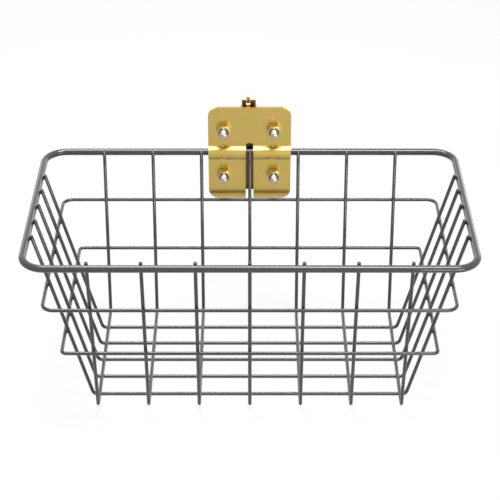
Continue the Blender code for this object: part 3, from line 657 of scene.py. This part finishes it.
class BASKET_OT_hoops(PieceOperator, bpy.types.Operator):
    """Draw the two thin hoops outside the legs"""
    bl_idname = "basket.hoops"
    bl_label = "Hoops"

    def build(self, wires, clamp, latch):
        for name, below, corner in hoop_runs(wires):
            front, back, left, right = (wall.hoop(below) for wall in walls(wires))
            shape = draw_loop(
                RIM - Vector((left, front, below)), RIM + Vector((right, back, -below)),
                corner, wires.wire, wires.sides, steps=10)
            piece(f"{name}_wire", shape, ["grey_coat_wire"], name)


class BASKET_OT_legs(PieceOperator, bpy.types.Operator):
    """Draw the U-shaped wires that run front to back and across"""
    bl_idname = "basket.legs"
    bl_label = "Bent Wires"

    def build(self, wires, clamp, latch):
        front, back, left, right = walls(wires)
        points = u_points(front, back, (wires.front_stub, wires.back_stub))
        for number, side in enumerate(columns(), start=1):
            seat = Vector((side, RIM.y, RIM.z))
            self.rod(f"front_back_wire_{number}", points, seat, wires.front_back_bend, wires)
        points = u_points(left, right, (wires.cross_stub, wires.cross_stub))
        for number, depth in enumerate(rows(), start=1):
            seat = Vector((0, depth, RIM.z))
            self.rod(f"cross_wire_{number}", points, seat, wires.cross_bend, wires)

    def rod(self, name, points, seat, bend, wires):
        first, *others = [seat + point for point in points]
        wire = Wire(first, others[0] - first, wires.wire, wires.sides)
        wire.follow(others, [bend, bend], steps=8)
        shape = wire.capped(wires.end_round)
        piece(f"{name}_rod", shape, ["grey_coat_wire"], name)


class BASKET_OT_welds(PieceOperator, bpy.types.Operator):
    """Fill the crossings of the wires with small coated welds"""
    bl_idname = "basket.welds"
    bl_label = "Welds"

    def build(self, wires, clamp, latch):
        floor, rim, hoops = bmesh.new(), bmesh.new(), bmesh.new()
        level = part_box("front_back_wire_4")[0].z - GAP / 2
        rim_weld = wires.weld * 1.25
        for side in columns():
            for back in rows():
                self.weld(floor, Vector((side, back, level)), Z, wires.weld, wires)
        for wall in walls(wires):
            normal = wall.facing * cos(wall.slope) - Z * sin(wall.slope)
            crossed = [(rim, wall.rim, 0, wires.rim_wire, rim_weld)]
            crossed += [(hoops, wall.hoop(below), below, wires.wire, wires.weld)
                        for _, below, _ in hoop_runs(wires)]
            axis, spots = (0, columns()) if wall.facing.y else (1, rows())
            for spot in spots:
                for shape, reach, below, thickness, half in crossed:
                    seat = RIM + wall.facing * reach - Z * below
                    seat[axis] = spot
                    self.weld(shape, seat - normal * (thickness + GAP) / 2, normal, half, wires)
        for name, shape in (("floor_welds", floor), ("rim_welds", rim), ("hoop_welds", hoops)):
            # the welds take the darker coat, painted shade at the joints
            piece(name, shape, ["grey_coat_weld_shade"])

    def weld(self, shape, seat, normal, half, wires):
        size = Matrix.Diagonal((half, half, wires.wire / 4, 1))
        bmesh.ops.create_uvsphere(
            shape, u_segments=10, v_segments=6, radius=1, matrix=pointed(seat, normal) @ size)


def bolt_places(clamp):
    """The four bolt centres: across from the middle and above the rim's centre."""
    middle = middle_of("clamp_bolt_1", "clamp_bolt_4") - RIM
    for height in (1, -1):
        for side in (-1, 1):
            yield middle.x + side * clamp.spacing_x / 2, middle.z + height * clamp.spacing_z / 2


class RidgeSection:
    """The front plate's section through its middle: flat, crease, ridge, crease, flat."""

    def __init__(self, wires, clamp):
        self.ridge = wires.rim_wire / 2 + GAP + clamp.sheet / 2
        self.crease = clamp.crease + clamp.sheet / 2
        self.flat = PLATE_FRONT - clamp.gap - clamp.sheet / 2 - (RIM.y + wires.rim_depth / 2)
        self.inset = self.flat - self.crease
        self.rise = sqrt((self.ridge + self.crease) ** 2 - self.inset ** 2)
        self.turn = atan2(self.rise, -self.inset)

    def unrolled(self, height):
        """How far along the sheet a height on its flat parts is."""
        extra = (self.ridge + self.crease) * self.turn - self.rise
        return height + (extra if height > 0 else -extra)

    def at(self, along):
        """The place and the normal at a distance along the sheet from its nose."""
        upward = 1 if along > 0 else -1
        run, bend, fold = abs(along), self.ridge * self.turn, self.crease * self.turn
        if run < bend:
            angle = run / self.ridge
            place = (-self.ridge * cos(angle), self.ridge * sin(angle))
        elif run < bend + fold:
            angle = self.turn - (run - bend) / self.crease
            place = (self.inset + self.crease * cos(angle), self.rise - self.crease * sin(angle))
        else:
            angle = 0
            place = (self.flat, self.rise + run - bend - fold)
        return (
            Vector((0, place[0], upward * place[1])),
            Vector((0, -cos(angle), upward * sin(angle))))


class BASKET_OT_clamp_plate(PieceOperator, bpy.types.Operator):
    """Press the front plate round the rim, with its notch and dents"""
    bl_idname = "basket.clamp_plate"
    bl_label = "Clamp Plate"

    def build(self, wires, clamp, latch):
        section = RidgeSection(wires, clamp)
        self.places = [(side - PLATE.x, height) for side, height in bolt_places(clamp)]
        half, notch = clamp.width / 2, clamp.notch / 2
        top, low = section.unrolled(clamp.up), section.unrolled(-clamp.down)
        notch_top = section.unrolled(clamp.notch_up)
        corner, inner, mouth = clamp.corner, clamp.notch_corner, clamp.notch_mouth
        shape = bmesh.new()
        points = [
            (-half, low), (-notch, low), (-notch, notch_top), (notch, notch_top),
            (notch, low), (half, low), (half, top), (-half, top),
        ]
        radii = [corner, mouth, inner, inner, mouth, corner, corner, corner]
        outline(shape, [Vector((across, 0, along)) for across, along in points], radii)
        self.cut(shape, section, clamp)
        seat = Vector((PLATE.x, RIM.y + wires.rim_depth / 2, RIM.z))
        for vert in shape.verts:
            across, along = vert.co.x, vert.co.z
            place, normal = section.at(along)
            depth = self.dent(across, along, section, clamp)
            vert.co = seat + X * across + place - normal * depth
        made = piece(
            "clamp_front", shape, ["yellow_zinc_front"], "clamp_plate", sharp=50)
        thicken(made, clamp.sheet, clamp.edge)

    def cut(self, shape, section, clamp):
        """Cut the blank across and along, finely where it bends."""
        bend = section.ridge * section.turn
        crease = section.crease * section.turn
        reach = clamp.dent_length / 2
        ridge_cuts, cuts = 16, 8
        for side in (-1, 1):
            levels = [side * bend * step / ridge_cuts for step in range(ridge_cuts + 1)]
            for start, length in ((bend, crease), (bend + crease, reach)):
                levels += [side * (start + length * step / cuts) for step in range(1, cuts + 1)]
            for level in levels:
                self.slice(shape, shape.faces, Vector((0, 0, level)), Z)
        limit = bend + crease + reach + MERGE
        for spot in {side for side, _ in self.places}:
            for step in range(-cuts, cuts + 1):
                across = spot + clamp.dent_width / 2 * step / cuts
                band = [face for face in shape.faces
                        if max(abs(vert.co.z) for vert in face.verts) < limit]
                self.slice(shape, band, Vector((across, 0, 0)), X)

    def slice(self, shape, faces, place, normal):
        """Cut some of the blank's faces along a plane."""
        geometry = {part for face in faces for part in (face, *face.edges, *face.verts)}
        bmesh.ops.bisect_plane(
            shape, geom=list(geometry), dist=MERGE, plane_co=place, plane_no=normal)

    def dent(self, across, along, section, clamp):
        """How deep a dent is pressed into the crease here."""
        middle = (section.ridge + section.crease / 2) * section.turn
        depth = 0.0
        for side, height in self.places:
            aside = (across - side) / (clamp.dent_width / 2)
            away = (along - (middle if height > 0 else -middle)) / (clamp.dent_length / 2)
            rest = 1 - aside * aside - away * away
            if rest > 0:
                depth = max(depth, clamp.dent_depth * sqrt(rest))
        return depth


class BASKET_OT_back_plate(PieceOperator, bpy.types.Operator):
    """Cut the flat plate behind the rim"""
    bl_idname = "basket.back_plate"
    bl_label = "Back Plate"

    def build(self, wires, clamp, latch):
        half, low, top = clamp.width / 2, -clamp.back_down, clamp.back_up
        seat = Vector((PLATE.x, PLATE.y, RIM.z))
        points = [seat + X * across + Z * height
                  for across, height in ((-half, low), (half, low), (half, top), (-half, top))]
        shape = bmesh.new()
        outline(shape, points, [clamp.back_corner] * 4)
        made = piece("clamp_rear", shape, ["yellow_zinc_rear"], "back_plate")
        thicken(made, PLATE_REAR - PLATE_FRONT, clamp.edge)


class BASKET_OT_bolts(PieceOperator, bpy.types.Operator):
    """Turn the four round-headed bolts"""
    bl_idname = "basket.bolts"
    bl_label = "Bolts"

    def build(self, wires, clamp, latch):
        seat_y = PLATE_REAR + GAP
        tip = seat_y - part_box("clamp_bolt_1")[0].y
        shank, head = clamp.bolt / 2, clamp.head / 2
        ball = (head ** 2 + clamp.head_height ** 2) / (2 * clamp.head_height)
        dome_share = 0.97             # the rest is the head's blunt edge
        reach = degrees(asin(head / ball)) * dome_share
        chamfer, pitch = clamp.tip_round, clamp.pitch
        profile = [(0, tip), (shank - chamfer, tip), (shank - chamfer / 3, tip - chamfer / 2)]
        turns, steps = 8, 8           # of the thread, and points in each
        for step in range(turns * steps + 1):
            wave = (1 - cos(2 * pi * step / steps)) / 2
            profile += [(shank - clamp.thread * wave, tip - chamfer - pitch * step / steps)]
        profile += [(shank, 0), (head, 0)]
        profile += arc((0, ball - clamp.head_height), ball, reach - 90, -90, 10)
        for number, (side, height) in enumerate(bolt_places(clamp), start=1):
            shape = bmesh.new()
            turned(shape, profile, axle(Vector((side, seat_y, RIM.z + height)), "X"), 40)
            piece(
                f"bolt_{number}", shape, ["bright_zinc_turned"],
                f"clamp_bolt_{number}", sharp=40)


class BASKET_OT_nuts(PieceOperator, bpy.types.Operator):
    """Turn the four chamfered lock nuts"""
    bl_idname = "basket.nuts"
    bl_label = "Lock Nuts"

    def build(self, wires, clamp, latch):
        seat_y = PLATE_FRONT - clamp.gap - clamp.sheet - GAP
        for number, (side, height) in enumerate(bolt_places(clamp), start=1):
            seat = axle(Vector((side, seat_y, RIM.z + height)), "X")
            shape = bmesh.new()
            self.hexagon(shape, seat, clamp)
            self.collar(shape, seat, clamp)
            piece(
                f"nut_{number}", shape,
                ["yellow_zinc_turned", "bright_zinc_turned", "lock_insert_recess_shade"],
                f"lock_nut_{number}", sharp=28)

    def hexagon(self, shape, seat, clamp):
        """A hexagon whose corners a cone has turned off at both ends."""
        flat = clamp.flats / 2
        count = 72                    # points round it
        verts = []
        for step in range(count):
            turn = 2 * pi * step / count
            radius = flat / cos(turn % (pi / 3) - pi / 6)
            cut = (radius - flat) * tan(clamp.chamfer)
            verts.append(shape.verts.new((radius * cos(turn), radius * sin(turn), cut)))
        base = shape.faces.new(verts)
        made = bmesh.ops.extrude_face_region(shape, geom=[base])["geom"]
        for vert in only(made, BMVert):
            vert.co.z = clamp.hexagon - vert.co.z
        for cap, level in ((base, 0), (only(made, BMFace)[0], clamp.hexagon)):
            bmesh.ops.inset_individual(shape, faces=[cap], thickness=clamp.edge)
            for vert in cap.verts:
                vert.co.xy = vert.co.xy.normalized() * (flat - clamp.edge)
                vert.co.z = level
        bmesh.ops.transform(shape, matrix=seat, verts=shape.verts)

    def collar(self, shape, seat, clamp):
        """A round collar whose recess holds the locking insert."""
        rise = clamp.hexagon + clamp.collar_height
        ring, lip = clamp.collar / 2, clamp.lip
        mouth, floor = clamp.mouth / 2, rise - clamp.mouth_depth
        profile = [
            (ring, clamp.hexagon - clamp.edge),
            *arc((ring - lip, rise - lip), lip, 0, 90, 6),
            *arc((mouth + lip / 2, rise - lip / 2), lip / 2, 90, 180, 4), (mouth, floor),
        ]
        turned(shape, profile, seat, material=1)
        # the recess floor: the locking insert, its dark colour partly painted shade
        turned(shape, [(mouth, floor), (clamp.bolt / 2 - clamp.thread, floor)], seat, material=2)


def fitting_point(depth, height, across=0.0):
    """A place on the fitting: back from the web's front and up from the rim."""
    return Vector((PIN.x + across, WEB_FRONT + depth, RIM.z + height))


class BASKET_OT_fitting(PieceOperator, bpy.types.Operator):
    """Fold the channel whose cheeks hook into the track"""
    bl_idname = "basket.fitting"
    bl_label = "Track Fitting"

    def build(self, wires, clamp, latch):
        side = (latch.width - latch.sheet) / 2
        front, top, low = latch.sheet / 2, latch.top, -latch.down
        off, rear = latch.standoff, latch.standoff + latch.throat
        deep = rear + latch.tongue
        slot_top, slot_low = latch.slot_top, latch.slot_top - latch.slot_height
        toe, above, below = slot_low - 0.0062, slot_top + 0.005, slot_top - 0.008
        level = latch.bend + 0.0001   # just behind the bend
        flare, lead = tan(radians(36)), 0.0025
        start, shoulder = (top - (depth - lead) * flare for depth in (level, off))
        tip, corner = 0.0012, 0.003
        cheek = [
            (front, top, 0), (front, low, 0), (off, low, corner), (off, slot_low, 0),
            (rear, slot_low, 0), (rear, toe, tip), (deep, toe, tip), (deep, above, tip),
            (rear, above, tip), (rear, below, 0), (off, below, 0), (off, shoulder, corner),
            (level, start, 0),
        ]
        shape = bmesh.new()
        ends, picks = [], []
        for across in (-side, side):
            verts = [shape.verts.new(fitting_point(depth, height, across))
                     for depth, height, _ in cheek]
            shape.faces.new(verts)
            ends.append(verts[:2])
            picks += zip(verts, (radius for _, _, radius in cheek))
        (left_top, left_low), (right_top, right_low) = ends
        slot, floor = latch.lever / 2 + GAP, top - 0.0067
        web = [left_top, left_low, right_low, right_top]
        for across, height in ((slot, top), (slot, floor), (-slot, floor), (-slot, top)):
            web.append(shape.verts.new(fitting_point(front, height, LEVER_MIDDLE + across)))
        shape.faces.new(web)
        bmesh.ops.recalc_face_normals(shape, faces=shape.faces)
        bends = [shape.edges.get(pair) for pair in ends]
        bevel(shape, bends, latch.bend - latch.sheet / 2, 8)
        round_corners(shape, [(vert, radius) for vert, radius in picks if vert.is_valid])
        # the channel's dark brown zinc is painted shade
        made = piece(
            "track_channel", shape, ["zinc_sheet_painted_shade"], "track_fitting", sharp=40)
        thicken(made, latch.sheet, latch.edge)
        self.beads(latch)

    def beads(self, latch):
        """Weld beads between the channel and the rear plate."""
        count, pitch, sunk, tops = 14, 0.0013, 0.0002, (0.034, -0.012)
        side = latch.width / 2 - 0.0004
        size = Matrix.Diagonal((latch.bead, latch.bead * 0.8, latch.bead, 1))
        shape = bmesh.new()
        for across in (-side, side):
            for top in tops:
                for step in range(count):
                    seat = Matrix.Translation(fitting_point(sunk, top - step * pitch, across))
                    bmesh.ops.create_uvsphere(
                        shape, u_segments=10, v_segments=8, radius=1, matrix=seat @ size)
        # the beads share the channel's painted shade
        piece("channel_welds", shape, ["zinc_sheet_painted_shade"])


class BASKET_OT_lever(PieceOperator, bpy.types.Operator):
    """Cut the latch lever with its thumb tab, heel and nose"""
    bl_idname = "basket.lever"
    bl_label = "Latch Lever"

    def build(self, wires, clamp, latch):
        eye, coil = self.eye(latch), latch.coil + latch.wire / 2
        run, rise = sin(LEVER_SLANT), cos(LEVER_SLANT)
        track = WEB_FRONT + latch.standoff - PIN.y
        nose, back = track + 0.0034, track - 0.001
        nose_top = RIM.z + latch.slot_top - 0.0005 - PIN.z
        nose_low = nose_top - 0.0045
        tab_top, tab_front, tab_back, tab_corner = 0.0114, -0.0017, 0.0015, 0.001
        heel_top, heel_low = 0.003, 0.0008
        fillet, chamfer = 0.0006, 0.0015
        arm = (-nose_low - eye * run) / rise

        def beside(distance, along):
            """A place along the arm, and to its front by a distance."""
            return along * run - distance * rise, -along * rise - distance * run

        rear = beside(-eye, 0)
        knee = (back - rear[0]) / run
        corners = [
            (beside(eye, 0), 0), (beside(eye, arm), fillet),
            ((nose - chamfer, nose_low), fillet), ((nose, nose_low + chamfer), fillet),
            ((nose, nose_top), fillet), ((back, nose_top), 0), (beside(-eye, knee), fillet),
            (rear, 0), ((eye * cos(pi / 4), eye * sin(pi / 4)), 0),
            ((tab_back, eye + fillet), fillet), ((tab_back, tab_top), tab_corner),
            ((tab_front, tab_top), tab_corner), ((tab_front, heel_top), fillet),
            ((-coil, heel_top), fillet), ((-coil, heel_low), 0),
        ]
        shape = bmesh.new()
        points = [PIN + Vector((LEVER_MIDDLE, *spot)) for spot, _ in corners]
        outline(shape, points, [radius for _, radius in corners], 6)
        made = piece(
            "lever_blade", shape, ["yellow_zinc_turned"], "latch_lever",
            body="latch", sharp=40)
        thicken(made, latch.lever, latch.edge)
        self.sleeve(latch, eye - EYE_LIP)

    def sleeve(self, latch, radius):
        """The tube round the pin, between the cheeks."""
        end, bore = latch.width / 2 - latch.sheet - GAP, latch.pin / 2 + GAP
        chamfer = 0.0002
        profile = [
            (bore, end), (radius - chamfer, end), (radius, end - chamfer),
            (radius, chamfer - end), (radius - chamfer, -end), (bore, -end), (bore, end),
        ]
        shape = bmesh.new()
        turned(shape, profile, axle(PIN, "Y"), 32)
        piece("lever_sleeve", shape, ["yellow_zinc_turned"], body="latch")

    @staticmethod
    def eye(latch):
        """Radius of the lever round its pin."""
        inside = latch.coil * cos(pi / COIL_POINTS) - latch.wire / 2
        return inside - GAP + EYE_LIP


class BASKET_OT_pin(PieceOperator, bpy.types.Operator):
    """Turn the lever's pin with its riveted heads"""
    bl_idname = "basket.pin"
    bl_label = "Pivot Pin"

    def build(self, wires, clamp, latch):
        end = (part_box("pivot_pin")[1].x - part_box("pivot_pin")[0].x) / 2
        cheek = latch.width / 2 + GAP
        shank, head = latch.pin / 2, latch.pin_head / 2
        upper = [                     # a low crown, its rim, and the shank
            (0, end), (head * 0.45, end - 0.00004), (head * 0.8, end - 0.00016),
            (head, cheek + 0.0001), (head, cheek), (shank, cheek),
        ]
        lower = [(radius, -height) for radius, height in reversed(upper)]
        shape = bmesh.new()
        turned(shape, [*upper, *lower], axle(PIN, "Y"), 32)
        piece(
            "rivet_pin", shape, ["bright_zinc_turned"], "pivot_pin", sharp=40)


class BASKET_OT_spring(PieceOperator, bpy.types.Operator):
    """Wind the torsion spring round the lever's sleeve"""
    bl_idname = "basket.spring"
    bl_label = "Torsion Spring"

    def build(self, wires, clamp, latch):
        half, run, rise = latch.wire / 2, sin(LEVER_SLANT), cos(LEVER_SLANT)
        lever_left = LEVER_MIDDLE - latch.lever / 2
        left = LEVER_MIDDLE + latch.lever / 2 + GAP + half
        right = latch.width / 2 - latch.sheet - GAP - half
        away = BASKET_OT_lever.eye(latch) + half + GAP / 6
        hook = Vector((0, latch.hook * run - away * rise, -latch.hook * rise - away * run))
        start = atan2(hook.z, hook.y) + acos(latch.coil / hook.length)
        turn, advance = pi - start + 4 * pi, right - left
        share, lap = 0.5, radians(40)     # of the coil that rides on the lever, and its overlap
        slim = 0.97                       # the lever's part lies inside the other at the overlap

        def on_coil(angle, across):
            return PIN + Vector((across, latch.coil * cos(angle), latch.coil * sin(angle)))

        hooked = Wire(PIN + hook + X * (lever_left + half), X, latch.wire * slim, 12)
        hooked.follow([PIN + hook + X * left, on_coil(start, left)], [latch.wire], 6)
        hooked.spin(
            PIN + X * left, X, turn * share + lap, 50, advance=advance * (share + lap / turn))
        piece(
            "spring_hook", hooked.capped(latch.wire / 5), ["spring_wire"],
            "torsion_spring", body="latch")
        joint, middle = start + turn * share, left + advance * share
        held = Wire(
            on_coil(joint, middle), Vector((0, -sin(joint), cos(joint))), latch.wire, 12)
        held.spin(
            PIN + X * middle, X, turn * (1 - share), 45, advance=advance * (1 - share))
        held.run(PIN + Vector((right, -latch.coil, -latch.leg)))
        piece("spring_heel", held.capped(latch.wire / 5), ["spring_wire"])


class BASKET_OT_stage(bpy.types.Operator):
    """Set the floor, the lights and the camera"""
    bl_idname = "basket.stage"
    bl_label = "Stage"
    bl_options = {"REGISTER", "UNDO"}

    def execute(self, context):
        scene = context.scene
        self.floor(scene)
        self.world(scene)
        for name, place, size, power in LAMPS:
            self.lamp(name, Vector(place), size, power)
        self.camera(scene)
        scene.view_settings.view_transform = "Standard"
        return {"FINISHED"}

    def floor(self, scene):
        """A pale floor that shows as white and keeps the object's shadow."""
        shape = bmesh.new()
        bmesh.ops.create_grid(shape, x_segments=8, y_segments=8, size=8)
        bmesh.ops.translate(shape, verts=shape.verts, vec=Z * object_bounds()[0].z)
        tree, shader = shader_tree("studio_floor")
        feed(tree, shader, {
            "Base Color": (*scene.basket_finish.floor, 1), "Roughness": 0.9,
            "Specular IOR Level": 0})
        lit, glow_share = shader.outputs["BSDF"], 0.85
        glow = node(tree, "ShaderNodeEmission", {"Color": WHITE, "Strength": 1.0})
        shown = mixed(tree, glow_share, lit, glow.outputs["Emission"])
        feed(tree, tree.nodes["Material Output"], {
            "Surface": mixed(tree, self.seen(tree), lit, shown)})
        mesh_object("floor", shape, ["studio_floor"])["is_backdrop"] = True

    def seen(self, tree):
        """1 for rays from the camera, or reflected or refracted by the object."""
        rays = node(tree, "ShaderNodeLightPath").outputs
        either = rays["Is Camera Ray"]
        for kind in ("Is Glossy Ray", "Is Transmission Ray"):
            either = node(
                tree, "ShaderNodeMath", {0: either, 1: rays[kind]},
                operation="MAXIMUM").outputs["Value"]
        return either

    def world(self, scene):
        """White where the camera or a reflection looks, and a soft grey light."""
        scene.world = bpy.data.worlds.new("studio")
        scene.world.use_nodes = True
        tree = scene.world.node_tree
        grey = tree.nodes["Background"]
        feed(tree, grey, {"Color": (0.2, 0.2, 0.2, 1), "Strength": 1.0})
        white = node(tree, "ShaderNodeBackground", {"Color": WHITE, "Strength": 1.0})
        feed(tree, tree.nodes["World Output"], {"Surface": mixed(
            tree, self.seen(tree), grey.outputs["Background"], white.outputs["Background"])})

    def lamp(self, name, place, size, power):
        light = bpy.data.lights.new(name, "AREA")
        light.shape = "RECTANGLE"
        light.size, light.size_y = size
        light.energy = power
        lamp = bpy.data.objects.new(name, light)
        lamp.location = place
        lamp.rotation_euler = (LAMP_AIM - place).to_track_quat("-Z", "Y").to_euler()
        lamp.visible_camera = False
        bpy.context.scene.collection.objects.link(lamp)

    def camera(self, scene):
        """The photograph's view, from the front and above."""
        data = bpy.data.cameras.new("camera")
        data.sensor_width = SENSOR
        data.lens = FOCAL / PICTURE * SENSOR
        data.shift_x = SHIFT / PICTURE
        camera = bpy.data.objects.new("camera", data)
        camera.location = RIM + CAMERA_FROM_RIM
        camera.rotation_euler = (radians(90 - CAMERA_DOWN), 0, 0)
        scene.collection.objects.link(camera)
        scene.camera = camera


class BASKET_PT_panel(bpy.types.Panel):
    """Lists the basket's pieces and sizes"""
    bl_idname = "BASKET_PT_panel"
    bl_label = "Track Wire Basket"
    bl_space_type = "VIEW_3D"
    bl_region_type = "UI"
    bl_category = "Basket"

    def draw(self, context):
        layout = self.layout
        for operator in OPERATORS:
            layout.operator(operator.bl_idname)
        for name in GROUPS:
            group = getattr(context.scene, name)
            box = layout.box()
            for key in group.bl_rna.properties.keys():
                if key not in ("rna_type", "name"):
                    box.prop(group, key)


GROUPS = {
    "basket_wires": BasketWires,
    "basket_clamp": BasketClamp,
    "basket_latch": BasketLatch,
    "basket_finish": BasketFinish,
}
OPERATORS = (
    BASKET_OT_finishes,
    BASKET_OT_rim,
    BASKET_OT_hoops,
    BASKET_OT_legs,
    BASKET_OT_welds,
    BASKET_OT_clamp_plate,
    BASKET_OT_back_plate,
    BASKET_OT_bolts,
    BASKET_OT_nuts,
    BASKET_OT_fitting,
    BASKET_OT_lever,
    BASKET_OT_pin,
    BASKET_OT_spring,
    BASKET_OT_stage,
)
CLASSES = (*GROUPS.values(), *OPERATORS, BASKET_PT_panel)


def register():
    for cls in CLASSES:
        bpy.utils.register_class(cls)
    for name, group in GROUPS.items():
        setattr(bpy.types.Scene, name, PointerProperty(type=group))


def unregister():
    for name in GROUPS:
        delattr(bpy.types.Scene, name)
    for cls in reversed(CLASSES):
        bpy.utils.unregister_class(cls)


def main():
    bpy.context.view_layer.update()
    register()
    for operator in OPERATORS:
        group, name = operator.bl_idname.split(".")
        getattr(getattr(bpy.ops, group), name)()


if __name__ == "__main__":
    main()
